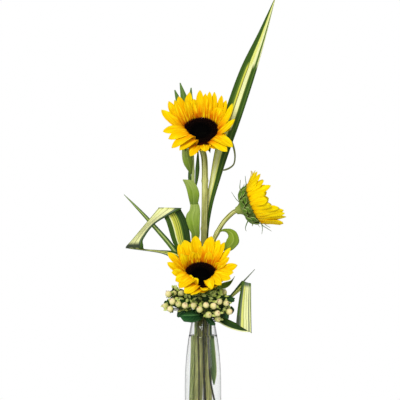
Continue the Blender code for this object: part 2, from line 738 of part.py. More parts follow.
def main():
    clear_scene()
    group = new_collection(COLLECTION)
    cutters = new_collection(COLLECTION + "_cutters")
    materials = make_materials()

    make_vase(materials, group)
    flower_stems = [
        ("top_flower_stem", TOP_STEM, TOP_SIZES["neck"]),
        ("right_flower_stem", RIGHT_STEM, RIGHT_SIZES["neck"]),
        ("low_flower_stem", LOW_STEM, LOW_SIZES["neck"]),
        ("leafy_stem", LEAFY_STEM, LEAFY_STEM_RADIUS),
    ]
    for name, route, radius in flower_stems:
        tube(name, route, radius, materials["stem"], group)

    heads = [
        ("top_flower", TOP_CENTRE, TOP_FACING, TOP_SIZES),
        ("right_flower", RIGHT_CENTRE, RIGHT_FACING, RIGHT_SIZES),
        ("low_flower", LOW_CENTRE, LOW_FACING, LOW_SIZES),
    ]
    for head in heads:
        make_head(*head, materials, group)

    for name, (route, widths, facing) in LEAFY_LEAVES.items():
        blade(name, route, widths, facing, materials["leafy"], group)
    ribbon("tall_flax_leaf", TALL_FLAX, materials["flax"], group)
    ribbon("left_folded_flax_leaf", LEFT_FLAX, materials["flax"], group)
    ribbon("left_spike_leaf", LEFT_SPIKE, materials["flax"], group)
    ribbon("right_folded_flax_leaf", RIGHT_FLAX, materials["flax"], group)
    ribbon("right_spike_leaf", RIGHT_SPIKE, materials["flax"], group)
    blade("curled_top_leaf", *CURLED_TOP_LEAF, materials["leafy"], group)
    blade("curled_right_leaf", *CURLED_RIGHT_LEAF, materials["leafy"], group, FLAT_KEEL)

    for name, (route, berries) in SPRIGS.items():
        make_sprig(name, route, berries, materials, group, cutters)
    for name, (route, widths, facing) in COLLAR_LEAVES.items():
        blade(name, route, widths, facing, materials["dark"], group, FLAT_KEEL)

    wet_stems = [*flower_stems, *((name, route, SPRIG_RADIUS) for name, (route, _) in SPRIGS.items())]
    wet_blades = [("tall_flax_leaf", TALL_FLAX), ("right_folded_flax_leaf", RIGHT_FLAX)]
    make_water(wet_stems, wet_blades, materials, group, cutters)


main()
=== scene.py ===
"""Looks of the sunflowers in a vase: petals, discs, calyxes, stems, striped flax leaves, berries, glass and water.

Lengths are written in millimetres and scaled to metres by MM. +Z is up, the viewer's side is -Y, and the
origin is the centre of the vase's flat base. Every piece rides on the one body, "root".
"""

import math
import random
from types import SimpleNamespace as Head

import bmesh
import bpy
import numpy as np
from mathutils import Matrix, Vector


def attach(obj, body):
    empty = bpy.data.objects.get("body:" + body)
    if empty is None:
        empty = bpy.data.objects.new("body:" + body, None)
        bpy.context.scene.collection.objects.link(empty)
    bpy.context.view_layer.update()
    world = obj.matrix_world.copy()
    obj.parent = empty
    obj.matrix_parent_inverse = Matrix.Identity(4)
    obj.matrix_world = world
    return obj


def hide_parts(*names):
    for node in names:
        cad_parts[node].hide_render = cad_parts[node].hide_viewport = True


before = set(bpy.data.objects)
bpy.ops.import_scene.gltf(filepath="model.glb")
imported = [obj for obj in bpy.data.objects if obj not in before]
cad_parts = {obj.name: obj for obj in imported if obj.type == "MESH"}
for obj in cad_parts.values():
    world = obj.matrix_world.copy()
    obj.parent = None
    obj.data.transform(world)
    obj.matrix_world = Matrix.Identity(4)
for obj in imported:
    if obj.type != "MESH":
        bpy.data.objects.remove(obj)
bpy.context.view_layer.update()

MM = 0.001
PETAL_THICKNESS = 0.45
BRACT_THICKNESS = 0.35
LEAF_THICKNESS = 0.5
FLAX_THICKNESS = 0.6

# ---------------- sizes and routes, as in the CAD

VASE_HEIGHT = 292
BODY_TOP = 180
BODY_RADIUS = 30.8
NECK_RADIUS = 19.4
GLASS = 2.8
RIM = 1.2
FOOT = 8
BASE_THICKNESS = 9
WATER_LEVEL = 268
# How far the water reaches into the glass, so that no air shows between them.
WATER_OVERLAP = 0.25

DISC_DEPTH = 8
STEM_GAP = 0.55
FLORETS = 760
GOLDEN_ANGLE = 2.399963
PETAL_ROWS = 16
# Degrees between two petals that leave room for one filling petal, and for two.
ONE_GAP, TWO_GAP = 13, 18
# How round the middle of a leaf's fold is.
FOLD_ROUNDING = 0.35

# Each head: centre of the disc's face, the way it faces, disc radius, stem radius, depth of the cup's drum, how far
# back petals and bracts hang at 180 degrees, how far petals flare, depth of disc and calyx, seed, and the shares of
# its neighbours' length between which a filling petal's is drawn. A petal is (angle round the disc where it starts,
# where 90 is the top; angle, radius and height of its tip; width; how far it leans in over the disc; arch; how golden
# it is). How golden it is comes partly from the petal's own colour and partly from painted shade: it is set higher
# on petals whose bases lie in shade.
HEADS = {
    "top_flower": Head(centre=(-4.2, -18, 614.5), facing=(-0.05, -0.766, 0.643), disc=30, stem=5.3, drum=10, hang=0,
        flare=0, depth=31, seed=4, between=(0.76, 0.9), petals=[
        (127, 107, 67, 27, 13, 0, 1, 0.3), (94, 92, 66, 28, 13, 0, 1, 0.5), (81, 83, 60, 28, 11, 0, -1, 0.8),
        (69, 77, 64, 28, 12, 0, 0, 0.4), (55, 71, 68, 27, 12, 0, 1, 0.3), (41, 58, 66, 25, 14, 0, 0, 0.5),
        (30, 48, 64, 24, 13, 0, 0, 0.4), (4, 37, 67, 22, 13, 2, 1, 0), (-22, 8, 59, 20, 15, 2, 1, 0.1),
        (322, 321, 72, 6, 19, 3, 4, 0.1), (306, 312, 70, 5, 16, 2, 4, 0.2), (284, 281, 54, 4, 15, 0, 3, 0.3),
        (267, 257, 64, 5, 14, 0, 3, 0.8), (251, 238, 62, 7, 17, 5, 4, 0.8), (237, 226, 66, 9, 18, 8, 5, 0.9),
        (219, 212, 61, 13, 17, 8, 5, 1), (198, 195, 64, 16, 18, 6, 4, 0.7), (178, 157, 72, 20, 17, 2, 3, 0.5),
        (159, 139, 73, 22, 14, 0, 1, 0.6), (148, 133, 66, 23, 12, 0, 0, 0.7), (136, 124, 69, 24, 15, 0, 1, 0.7),
        (121, 118, 55, 25, 12, 0, 0, 0.8),
    ]),
    "right_flower": Head(centre=(95.2, 1, 493.4), facing=(0.932, -0.04, 0.361), disc=29, stem=4, drum=21, hang=8,
        flare=4, depth=41, seed=11, between=(0.84, 0.95), petals=[
        (92, 95, 54.7, 7, 13, 0, 1, 0.3), (104, 107, 55, 12, 13, 0, 1, 0.4), (113, 117, 55, 16, 13, 0, 1, 0.2),
        (124, 128, 55, 18, 13, 0, 1, 0.5), (138, 144, 52, 21, 13, 0, 1, 0.1), (152, 158, 50, 27, 12, 0, 0, 0),
        (163, 170, 53, 14, 14, 0, 2, 0.6), (177, 182, 53, 13, 14, 0, 2, 0.5), (190, 194, 51, 17, 14, 0, 1, 0.4),
        (202, 205, 49, 27, 13, 0, 0, 0.3), (210, 214, 49, 34, 13, 0, 0, 0.6), (218, 221, 50, 32, 12, 0, 0, 0.3),
        (229, 232, 50, 34, 13, 0, 0, 0.1), (241, 245, 53, 24, 14, 0, 0, 0.5), (255, 258, 50, 20, 13, 0, 0, 0.4),
        (268, 270, 48, 22, 13, 0, 0, 0.5), (282, 282, 48, 22, 13, 0, 0, 0.4), (295, 293, 50, 24, 13, 0, 0, 0.5),
        (308, 306, 49, 30, 13, 0, 0, 0.3), (321, 319, 47, 30, 13, 0, 0, 0.4), (334, 332, 46, 25, 13, 0, 0, 0.2),
        (347, 346, 47, 17, 13, 0, 0, 0.1), (0, 0, 50, 18, 16, 0, 0, 0), (14, 14, 48, 17, 13, 0, 0, 0.2),
        (28, 28, 48, 22, 13, 0, 0, 0.3), (42, 42, 50, 19, 13, 0, 0, 0.2), (56, 55, 53, 15, 13, 0, 0, 0.4),
        (69, 68, 54, 12, 13, 0, 1, 0.3), (81, 80, 54, 9, 13, 0, 1, 0.4),
    ]),
    "low_flower": Head(centre=(-3.4, -42, 372), facing=(0.03, -0.76, 0.649), disc=27, stem=4.5, drum=10, hang=0,
        flare=0, depth=31, seed=23, between=(0.62, 0.78), petals=[
        (102, 98, 63, 27, 20, 0, 1, 0.3), (124, 117, 60, 25, 22, 0, 1, 0.4), (143, 128, 60, 24, 13, 0, 1, 0.6),
        (151, 141, 43, 22, 11, 1, 3, 0), (163, 150, 64, 20, 14, 1, 3, 0.5), (176, 169, 58, 18, 14, 1, 1, 0.5),
        (189, 187, 50, 15, 17, 2, 2, 0.4), (206, 208, 49, 11, 19, 6, 4, 0.8), (220, 229, 20, 13, 12, 5, 4, 0.6),
        (243, 252, 19, 12, 12, 5, 4, 0.5), (226, 222, 51, 9, 20, 8, 4, 0.8), (247, 238, 54, 8, 19, 4, 4, 0.5),
        (262, 250, 52, 9, 17, 1, 2, 0.6), (284, 272, 42, 10, 16, 1, 3, 0.5), (300, 292, 43, 12, 15, 8, 3, 0.8),
        (316, 316, 45, 11, 18, 8, 4, 0.6), (335, 338, 52, 14, 19, 7, 3, 0.4), (350, 352, 54, 15, 16, 4, 2, 0.5),
        (4, 6, 61, 18, 17, 1, 1, 0.3), (22, 23, 51, 20, 12, 0, 1, 0.5), (34, 39, 65, 22, 11, 0, 1, 0.2),
        (47, 51, 64, 24, 13, 0, 1, 0.4), (59, 60, 63, 26, 16, 0, 1, 0.3), (74, 73, 63, 27, 19, 0, 1, 0.5),
    ]),
}

# Long thin tips of the right flower's bracts: each one's route and its radius.
RIGHT_FILAMENTS = [
    ([(66, -2, 508), (62.6, -3, 518), (63.8, -2, 531.2)], 0.8),
    ([(76, -2, 516), (73, -3, 526), (71.7, -2, 538)], 0.7),
    ([(66, -2, 490), (56, -3, 499), (48.5, -2, 510.8)], 0.6),
    ([(79, -9, 468), (74, -10, 457), (71.8, -9, 449.6), (73.1, -8, 444.5)], 1.1),
    ([(97, -9, 460), (101, -12, 454), (108, -12, 449.6), (115.6, -11, 444.5)], 0.7),
    ([(98, -8, 460), (100.6, -11, 450), (99.5, -11, 439.4)], 0.7),
    ([(101, -10, 461), (106, -12, 455), (113.9, -12, 450.5)], 0.5),
]


def unit(vector):
    vector = np.asarray(vector, float)
    return vector / np.linalg.norm(vector)


def head_axes(head):
    """Right, up and out directions of a head, as its viewer sees them."""
    out = unit(head.facing)
    right = unit(np.cross((0, 0, 1), out))
    return right, np.cross(out, right), out


def stem_end(name, extra=0):
    head = HEADS[name]
    return tuple(np.array(head.centre) - unit(head.facing) * (head.depth + STEM_GAP + extra))


# Stems as (radius, heights of the joints where a leaf was cut off, (heights, how dark it is there), route). The
# darkness is painted light and shade: below zero the stem is painted lighter inside the vase, and above zero it is
# painted darker where the leaves and flowers shade it.
STEMS = {
    "top_flower_stem": (5.3, (212, 448, 530), ((30, 250, 290, 420, 450, 520), (-0.5, -0.5, 0.7, 0.85, 0.62, 0.08)),
        [(-9, 7, 24), (-6, 7.5, 150), (-3.5, 7.2, 288), (0.5, 8, 370), (2, 9, 440), (3.4, 10.5, 520), (2.6, 12, 566),
        stem_end("top_flower", 14), stem_end("top_flower", 4), stem_end("top_flower")]),
    "right_flower_stem": (4, (193, 441), ((30, 200, 290, 420, 445, 480), (-0.4, -0.4, 0.7, 0.7, 0.3, 0.15)),
        [(10.5, -3, 20), (8, -2, 150), (5.4, -1.5, 288), (9, 2, 350), (16, 4, 418), (22.5, 3, 438),
        (33.5, 0.5, 457.5), (42, 2, 467.3), (47.6, 2.6, 472.8), stem_end("right_flower", 4),
        stem_end("right_flower")]),
    "low_flower_stem": (4.5, (120, 240), ((30, 250, 290, 340), (-0.4, -0.4, 0.8, 0.9)), [(-7.5, -8, 30),
        (-6.5, -6, 150), (-5.4, -4.6, 288), (-5, -8, 322), stem_end("low_flower", 9), stem_end("low_flower", 4),
        stem_end("low_flower")]),
    "leafy_stem": (3, (425, 487, 523, 546, 600), ((30, 250, 300, 420, 450, 600), (-0.3, -0.3, 0.8, 0.6, 0.2, 0.2)),
        [(-16.5, 3.5, 34), (-14.5, 3, 150), (-12, 2.6, 288), (-15.5, 8, 380), (-17, 12, 450), (-17.2, 13, 540),
        (-20, 19, 600), (-26.5, 26, 652)]),
}

# Leaves as (look, route from the base, widths, the way the face looks, keel). Collar leaves share one look.
LEAFY_LEAVES = {
    "dark_side_leaf": ("leafy_dark", [(-12.3, 12.6, 522), (-10.2, 12, 540), (-9, 13, 560), (-8.6, 15, 580)],
        [3, 6.5, 7.5, 5, 2], (0.3, -1, 0), 0.2),
    "narrow_side_leaf": ("leafy_dark", [(-21.4, 12.6, 524), (-22.8, 12, 536), (-23.4, 12, 552)], [2.5, 5.5, 5, 1.5],
        (-0.3, -1, 0), 0.2),
    "curled_side_leaf": ("leafy", [(-20.4, 10, 542), (-23.2, 7.6, 553), (-26.6, 5, 566), (-30, 4, 584)],
        [3, 10, 16, 18, 12], (0.3, -1, 0.2), 0.2),
    "tip_leaf_left": ("leafy_tip", [(-30.4, 24, 640), (-36, 24, 655), (-42, 25, 668), (-48.4, 25, 686)],
        [4, 11, 13, 8, 1.6], (0.2, -1, 0), 0.2),
    "tip_leaf_middle": ("leafy_tip", [(-27.4, 21.6, 649), (-30, 20.6, 662), (-34.5, 21, 680), (-39.2, 22, 698)],
        [4, 11, 12, 7, 1.6], (0, -1, 0), 0.2),
    "tip_leaf_right": ("leafy_tip", [(-21, 25.6, 646), (-20.6, 26, 662), (-21, 27, 676), (-20.2, 27, 690)],
        [3, 7, 7, 5, 1.6], (0, -1, 0), 0.2),
    "curled_top_leaf": ("curled", [(36, -4, 600), (47.6, -3, 597), (54.2, 0, 576), (52, 6, 558), (40, 14, 549.5),
        (33, 17.8, 548.2)], [2.4, 3.6, 3.8, 3.2, 2], (0.8, -1, 0.2), 0.2),
    "curled_right_leaf": ("lime", [(27.6, -2.5, 442.2), (32, -4.4, 445.4), (40, -8, 445.6), (49, -12, 440),
        (50.6, -10, 428), (42, -5, 417.5), (32, 1, 414.5)], [2.2, 3.4, 6.5, 15, 22, 17, 6], (0.15, -1, -0.1), 0.1),
}
COLLAR_LEAVES = {
    "large_collar_leaf": ([(0.5, -28, 303.6), (-8, -34, 303.6), (-18, -38, 303), (-29, -34, 302.6), (-38, -28, 302)],
        [3, 20, 26, 22, 3], (0, -0.82, 0.57), 0.1),
    "small_left_leaf": ([(-30.4, -24.6, 313.4), (-37, -22, 307), (-43, -20, 300)], [3, 11, 12, 3], (0, -1, 0.3), 0.1),
    "front_tip_leaf": ([(3.4, -29.2, 303), (9, -33, 297), (14.5, -34, 291.5), (20.5, -33, 288)], [3, 9, 10, 3],
        (0.2, -1, 0.3), 0.1),
    "upper_right_leaf": ([(33.4, -30, 323), (38, -31, 328), (45, -30, 331), (52.5, -27, 327)], [3, 12, 13, 3],
        (0.1, -1, 0.4), 0.1),
    "lower_right_leaf": ([(27.4, -29.4, 315), (34.6, -25, 309), (39, -24, 303), (42, -24, 297)], [3, 10, 11, 3],
        (0.1, -1, 0.2), 0.1),
    "back_collar_leaf": ([(1, 28.4, 304), (10, 36, 305), (20, 38, 303), (32, 34, 299)], [4, 20, 22, 3],
        (0, 0.82, 0.57), 0.1),
}

# Leaves that clasp the leafy stem, as rows of (left edge, right edge, keel) from base to tip.
CLASPING_LEAVES = {
    "lower_clasping_leaf": [(-17.4, 6.8, 420, -8.6, 6.8, 420, 0.8), (-19.4, 5.4, 437.7, -5.6, 5.8, 437.7, 1.6),
        (-24.5, 4, 449.6, -5.6, 5.2, 449.6, 2.2), (-29, 3.4, 463.5, -5.2, 4.8, 463.5, 2.6),
        (-28, 3.8, 472.6, -4.8, 4.9, 472.6, 2.4), (-23, 5.2, 480, -5, 5.6, 480, 1.8),
        (-21.6, 7, 488, -6.6, 7.4, 488, 1.2), (-19, 9, 496, -10, 9.2, 496, 0.4)],
    "upper_clasping_leaf": [(-20, 9.2, 480, -11, 9.2, 480, 0.4), (-22.1, 7.6, 490.4, -9.4, 7.8, 488, 1.2),
        (-24.6, 5.6, 501, -7, 6, 499, 2), (-27.4, 3.6, 513.5, -6.4, 4.8, 509, 2.4), (-30, 1, 522, -10.5, 2, 521, 2.4),
        (-32.4, -1.6, 527, -18.5, -0.6, 530.5, 1.6), (-34.6, -3.8, 531.4, -33.4, -3.6, 532.4, 0.2)],
}

DARK = (0.034, 0.088, 0.01)
DEEP = (0.016, 0.048, 0.01)
GREEN = (0.085, 0.16, 0.022)
GREY = (0.13, 0.17, 0.12)
CREAM = (0.76, 0.78, 0.2)
PALE = (0.88, 0.9, 0.44)
YELLOW = (0.58, 0.59, 0.07)
OLIVE = (0.25, 0.29, 0.035)
BROWN = (0.11, 0.06, 0.015)
# Painted shade: a dark grey-green that stands for shadow on the flax blades' folds and margins.
PAINTED_SHADE = (0.045, 0.06, 0.04)
# Flax blades as (rows like those above, sections of (place along, *stripes)), with stripes as (place across, colour).
FLAX = {
    "tall_flax_leaf": ([(7.2, 11.6, 210, 13, 6.2, 210, 0.8), (7.2, 11.6, 290, 13, 6.2, 290, 0.8),
        (4, 15.6, 360, 13, 12.4, 360, 1.2), (-0.5, 17.5, 430, 9, 16.5, 430, 1.6),
        (3.5, 18.6, 485, 15.5, 18, 483, 2.2), (11.9, 20, 532, 29, 19, 531, 2.8), (20.5, 22, 583, 45.5, 21, 581, 3.2),
        (37.5, 25, 648, 66.5, 24, 640, 3.2), (64, 27, 722, 91, 26, 716, 2.6), (95, 29, 784.5, 108.5, 28.5, 779, 1.6),
        (122, 31, 841.6, 124, 31, 841.2, 0.2)], [
        (0, (0, YELLOW), (0.5, GREEN)),
        (0.3, (0, OLIVE), (0.04, CREAM), (0.16, PALE), (0.4, CREAM), (0.52, GREEN), (0.58, DARK), (0.74, GREEN),
         (0.8, DARK)),
        (0.64, (0, DARK), (0.22, GREEN), (0.32, YELLOW), (0.42, BROWN), (0.46, PALE), (0.66, OLIVE), (0.69, DARK),
         (0.84, GREEN), (0.9, DARK)),
        (0.815, (0, DARK), (0.36, GREEN), (0.42, CREAM), (0.6, PALE), (0.78, GREEN), (0.92, PALE)),
    ]),
    "left_folded_flax_leaf": ([(-11, 10.9, 271, -5.4, 14.8, 271, 0.2), (-11.4, 10.9, 292, -5.6, 15, 292, 0.2),
        (-22, 12, 350, -11, 15, 350, -0.4), (-36.5, 8, 398, -19.5, 10.5, 396, -0.6),
        (-51.5, 3, 425, -20.5, 5.2, 425, -0.6), (-62.5, 0.5, 460, -26, 5.6, 458, -0.6),
        (-74.5, -2, 481.5, -37, 0, 480, -0.3), (-75.4, -5, 484, -36.6, -3, 483.4, 0),
        (-77.5, -8.5, 481, -41, -6.5, 480, 0.3), (-99, -14, 455, -80, -3, 458, 0.6),
        (-119, -17, 431, -100.5, -8, 432, 0.6), (-129, -18.5, 420, -101, -13, 420.5, 0.3),
        (-130, -16, 416.6, -100.6, -10, 415.6, 0), (-126, -12.5, 415, -97, -6, 413.6, 0),
        (-74, -8.5, 407.5, -76, 8.5, 411.6, -0.3), (-50, -11, 398, -46, 1.5, 409, -0.4),
        (-30, -5, 390, -28, 4.2, 394, -0.2)], [
        (0, (0, DARK), (0.25, PALE), (0.31, YELLOW), (0.42, OLIVE), (0.46, YELLOW), (0.53, GREEN), (0.57, YELLOW),
         (0.61, GREEN), (0.68, DEEP)),
        (0.545, (0, OLIVE), (0.05, PALE), (0.19, YELLOW), (0.22, PALE), (0.43, BROWN), (0.46, PALE), (0.72, GREY),
         (0.86, DARK)),
        # The return of the fold, behind the front, is painted shade.
        (0.745, (0, PAINTED_SHADE), (0.8, DARK)),
        (0.772, (0, GREY), (0.2, CREAM), (0.4, GREEN), (0.55, CREAM), (0.7, DARK)),
    ]),
    "left_spike_leaf": ([(-10.6, -7.8, 271, -12.2, -3.2, 271, 0.2), (-10.7, -8, 292, -12.4, -3.4, 292, 0.2),
        (-22, -3, 333, -16.5, 0.5, 335, 0.5), (-39, 4.5, 377.5, -31, 7.5, 380.5, 0.9),
        (-53, 9, 409.3, -46, 10.5, 415.1, 1.1), (-92.6, 10, 457.6, -87.5, 11, 462, 0.8),
        (-116.6, 11, 485.3, -113.6, 11.5, 487.8, 0.4), (-135.3, 12, 506.4, -134.8, 12, 506.9, 0.1)], [
        (0, (0, GREEN), (0.3, (0.16, 0.27, 0.09)), (0.46, CREAM), (0.54, (0.16, 0.27, 0.09)), (0.75, DARK)),
    ]),
    "right_folded_flax_leaf": ([(15.6, -3.6, 184, 14.2, -4.2, 184, 0), (18.6, -2.4, 204, 11, -6.2, 204, 0.6),
        (17.4, -1.8, 232, 9.8, -7.2, 232, 0.6), (15.2, -1.8, 262, 10, -7.8, 262, 0.5),
        (14.8, -2.6, 290, 10.6, -8.4, 290, 0.5), (19, -5, 304.5, 14.6, -12, 299, 0.6),
        (30, -10, 302, 25, -17, 291.6, 0.8), (44, -18, 295.2, 43, -22, 281.6, 0.9),
        (56, -19, 289.6, 64, -22, 275.6, 0.6), (57, -22.5, 290, 80.5, -22.8, 274.8, 0),
        (55.8, -25.5, 291.4, 81.6, -25.5, 276, -0.6), (59, -26, 320, 81, -26, 312, -2.2),
        (63.5, -25, 347.6, 80.8, -25, 346, -2.2), (65.4, -23, 357.6, 80.9, -23, 354.6, -0.6),
        (65.8, -20, 360, 80, -19, 356.4, 0), (63.6, -17, 358.4, 74, -15, 352, 0.6), (45, -11, 334, 50, -6, 332, 0.4),
        (33, -9, 318, 38, -4, 316, 0.2)], [
        (0, (0, PALE), (0.1, (0.2, 0.36, 0.08)), (0.45, (0.12, 0.24, 0.04)), (0.75, (0.07, 0.15, 0.03))),
        (0.245, (0, DARK), (0.3, DEEP), (0.72, DARK), (0.88, CREAM)),
        (0.42, (0, DARK), (0.35, DEEP), (0.8, DARK), (0.88, PALE)),
        # The dark left margin here is painted shade.
        (0.562, (0, PAINTED_SHADE), (0.2, GREY), (0.3, CREAM), (0.46, OLIVE), (0.49, PALE), (0.64, OLIVE), (0.67, PALE),
         (0.8, GREY), (0.88, PALE), (0.95, DARK)),
        (0.62, (0, DARK), (0.16, GREY), (0.28, CREAM), (0.42, OLIVE), (0.45, PALE), (0.6, OLIVE), (0.63, PALE),
         (0.78, GREY), (0.86, PALE), (0.94, DARK)),
        (0.79, (0, GREEN), (0.3, GREY), (0.8, GREEN)),
        (0.83, (0, DARK), (0.24, GREEN), (0.36, CREAM), (0.62, GREEN), (0.72, CREAM), (0.9, DARK)),
    ]),
    "right_spike_leaf": ([(38.6, -4.9, 327, 41.4, -3.9, 325.4, 0.1), (51, -7.9, 342, 53.8, -7.1, 340.2, 0.2),
        (66.5, -11, 359, 68.6, -10.5, 357.4, 0.2), (87.2, -13, 380.2, 88, -13, 379.6, 0)], [
        (0, (0, GREY), (0.5, (0.3, 0.33, 0.25)), (0.8, GREY)),
    ]),
}

# Sprigs as (the stem's route, centres of the berries, where leaves grow without a berry, where only a broad dark leaf
# fills the bunch). Those broad dark leaves are painted shade between the berries.
SPRIGS = {
    "left_berry_sprig": (
        [(-7, -15, 120), (-6, -13.6, 200), (-8, -11.6, 286), (-9.4, -12.4, 296), (-20, -22, 309), (-36, -28, 318),
         (-47, -27, 330)],
        [(-62.9, -26, 318.7), (-55.1, -38, 314.6), (-51.2, -40, 327.5), (-41.1, -44, 323.6), (-30.3, -48, 321.4),
         (-49, -18, 339), (-58, -29, 339), (-37, -25, 340)],
        [(-44, -20, 332), (-30, -26, 330), (-34, -30, 312), (-50, -24, 318), (-24, -28, 340), (-48, -22, 344)],
        [(-50, -28, 323), (-42, -30, 320), (-34, -32, 327), (-44, -26, 333), (-28, -34, 322), (-36, -26, 337),
         (-24, -30, 330)]),
    "middle_berry_sprig": (
        [(2, -14, 110), (1.4, -13.4, 200), (0.8, -13.2, 286), (1, -14.4, 296), (2, -26, 305), (4, -40, 308),
         (4, -50, 314)],
        [(-5.6, -60, 315.5), (4.8, -64, 323), (17, -58, 321), (9.2, -66, 307.1), (-15, -50, 321)],
        [(-12, -36, 318), (0, -38, 330), (12, -38, 334), (22, -36, 330), (-2, -34, 310), (10, -38, 312),
         (20, -38, 312), (-20, -34, 328), (-24, -34, 314), (4, -36, 320)],
        [(-10, -44, 322), (-2, -46, 312), (8, -46, 318), (14, -44, 310), (-16, -42, 330), (2, -42, 328)]),
    "right_berry_sprig": (
        [(20.6, 2, 96), (18, -2, 140), (9.8, -10.4, 200), (7, -12.8, 286), (7.4, -13.6, 296), (15, -25, 306),
         (27, -31, 317), (31, -30, 329)],
        [(23.8, -52, 308.5), (24.6, -44, 298.2), (38.6, -42, 324.5), (43.9, -38, 310.2), (27, -46, 327.5),
         (35.5, -27, 342), (22.8, -26, 341)],
        [(14, -50, 338), (24, -46, 342), (32, -42, 336), (18, -44, 324), (32, -34, 318), (8, -52, 334),
         (28, -34, 306), (19, -50, 331)],
        [(30, -34, 314), (36, -32, 322), (41, -30, 318), (26, -36, 326), (44, -28, 326), (34, -30, 306),
         (22, -38, 316)]),
    "back_berry_sprig": (
        [(3, 18, 120), (2.8, 15.8, 200), (1.6, 14.6, 286), (1.6, 15.2, 297), (0, 26, 307), (-4, 36, 318)],
        [(-16, 44, 322), (-4, 50, 326), (9, 46, 318), (-8, 38, 336), (18, 36, 327)], [], []),
}
BERRY_RADIUS = 5.4
SPRIG_RADIUS = 1.5
STALK_RADIUS = 0.85


# ---------------- meshes

NUMBERS = ("across", "along", "tone")


def placed(name, data):
    """A new object in the scene."""
    made = bpy.data.objects.new(name, data)
    bpy.context.scene.collection.objects.link(made)
    return made


def stacked(*parts):
    return np.stack(np.broadcast_arrays(*parts), -1)


def circle(sides):
    return np.linspace(0, math.tau, sides, endpoint=False)


def around(turn, first, second):
    """Directions at the angles of turn, from the first direction towards the second."""
    turn = np.asarray(turn)[..., None]
    return np.cos(turn) * first + np.sin(turn) * second


def revolved(profile, turn, ribs=1):
    """Rows of points round +Z, one for each (radius, height) of the profile."""
    radii, heights = np.array(profile).T
    return stacked(radii[:, None] * ribs * np.cos(turn), radii[:, None] * ribs * np.sin(turn), heights[:, None])


class Grids:
    """Grids of points gathered into one mesh, with the numbers that its materials read."""

    def __init__(self):
        self.points, self.faces, self.slots, self.numbers = [], [], [], []
        self.count = 0

    def add(self, points, across, along, tone, slot=0, ring=False, grain=None):
        """points is rows x columns x 3. across has a number for each column and along one for each row, and grain is
        where the pattern is read."""
        shape = points.shape[:2]
        index = np.arange(shape[0] * shape[1]).reshape(shape) + self.count
        if ring:
            index = np.concatenate([index, index[:, :1]], axis=1)
        quads = np.stack([index[:-1, :-1], index[:-1, 1:], index[1:, 1:], index[1:, :-1]], -1).reshape(-1, 4)
        along = np.reshape(along, (-1, 1))
        across, along, tone = (np.broadcast_to(value, shape).ravel() for value in (across, along, tone))
        if grain is None:
            grain = np.stack([across, along, tone * 9.0], -1)
        self.points.append(points.reshape(-1, 3))
        self.numbers.append(np.concatenate([np.stack([across, along, tone], -1), grain.reshape(-1, 3)], 1))
        self.faces += quads.tolist()
        self.slots += [slot] * len(quads)
        self.count += shape[0] * shape[1]

    def put(self, name, looks, slot, nodes, closed=False, thickness=0):
        """Makes the finished piece, which takes the place of its CAD nodes."""
        mesh = bpy.data.meshes.new(name)
        mesh.from_pydata((np.concatenate(self.points) * MM).tolist(), [], self.faces)
        numbers = np.concatenate(self.numbers).astype(np.float32)
        for column, label in enumerate(NUMBERS):
            mesh.attributes.new(label, "FLOAT", "POINT").data.foreach_set("value", numbers[:, column].copy())
        mesh.attributes.new("grain", "FLOAT_VECTOR", "POINT").data.foreach_set("vector", numbers[:, 3:].ravel())
        mesh.polygons.foreach_set("material_index", self.slots)
        mesh.polygons.foreach_set("use_smooth", [True] * len(self.faces))
        for look in looks:
            mesh.materials.append(MATERIALS[look])
        if closed:
            shape = bmesh.new()
            shape.from_mesh(mesh)
            bmesh.ops.recalc_face_normals(shape, faces=shape.faces)
            shape.to_mesh(mesh)
            shape.free()
        piece = placed(name, mesh)
        if thickness:
            solidify = piece.modifiers.new("Thickness", "SOLIDIFY")
            solidify.thickness = thickness * MM
            solidify.offset = 0
            # A petal's face has the second look.
            solidify.material_offset = int(slot == "petal")
        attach(piece, "root")
        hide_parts(*nodes)


def smooth(knots, steps):
    """Catmull-Rom rows through knots, of any number of columns."""
    knots = np.asarray(knots, float)
    ends = np.concatenate([[2 * knots[0] - knots[1]], knots, [2 * knots[-1] - knots[-2]]])
    rows = []
    for before, start, end, after in zip(ends, ends[1:], ends[2:], ends[3:]):
        for t in np.arange(steps) / steps:
            rows.append(0.5 * (2 * start + (end - before) * t + (2 * before - 5 * start + 4 * end - after) * t**2
                               + (3 * start - before - 3 * end + after) * t**3))
    return np.array([*rows, knots[-1]])


def lengths(points):
    """Length run along a row of points, up to each."""
    return np.concatenate([[0], np.cumsum(np.linalg.norm(np.diff(points, axis=0), axis=1))])


def resampled(points, count):
    run = lengths(points)
    wanted = np.linspace(0, run[-1], count)
    return np.stack([np.interp(wanted, run, column) for column in points.T], -1)


def runs_of(points):
    """Unit direction of travel at each point."""
    run = np.gradient(points, axis=0)
    return run / np.linalg.norm(run, axis=1, keepdims=True)


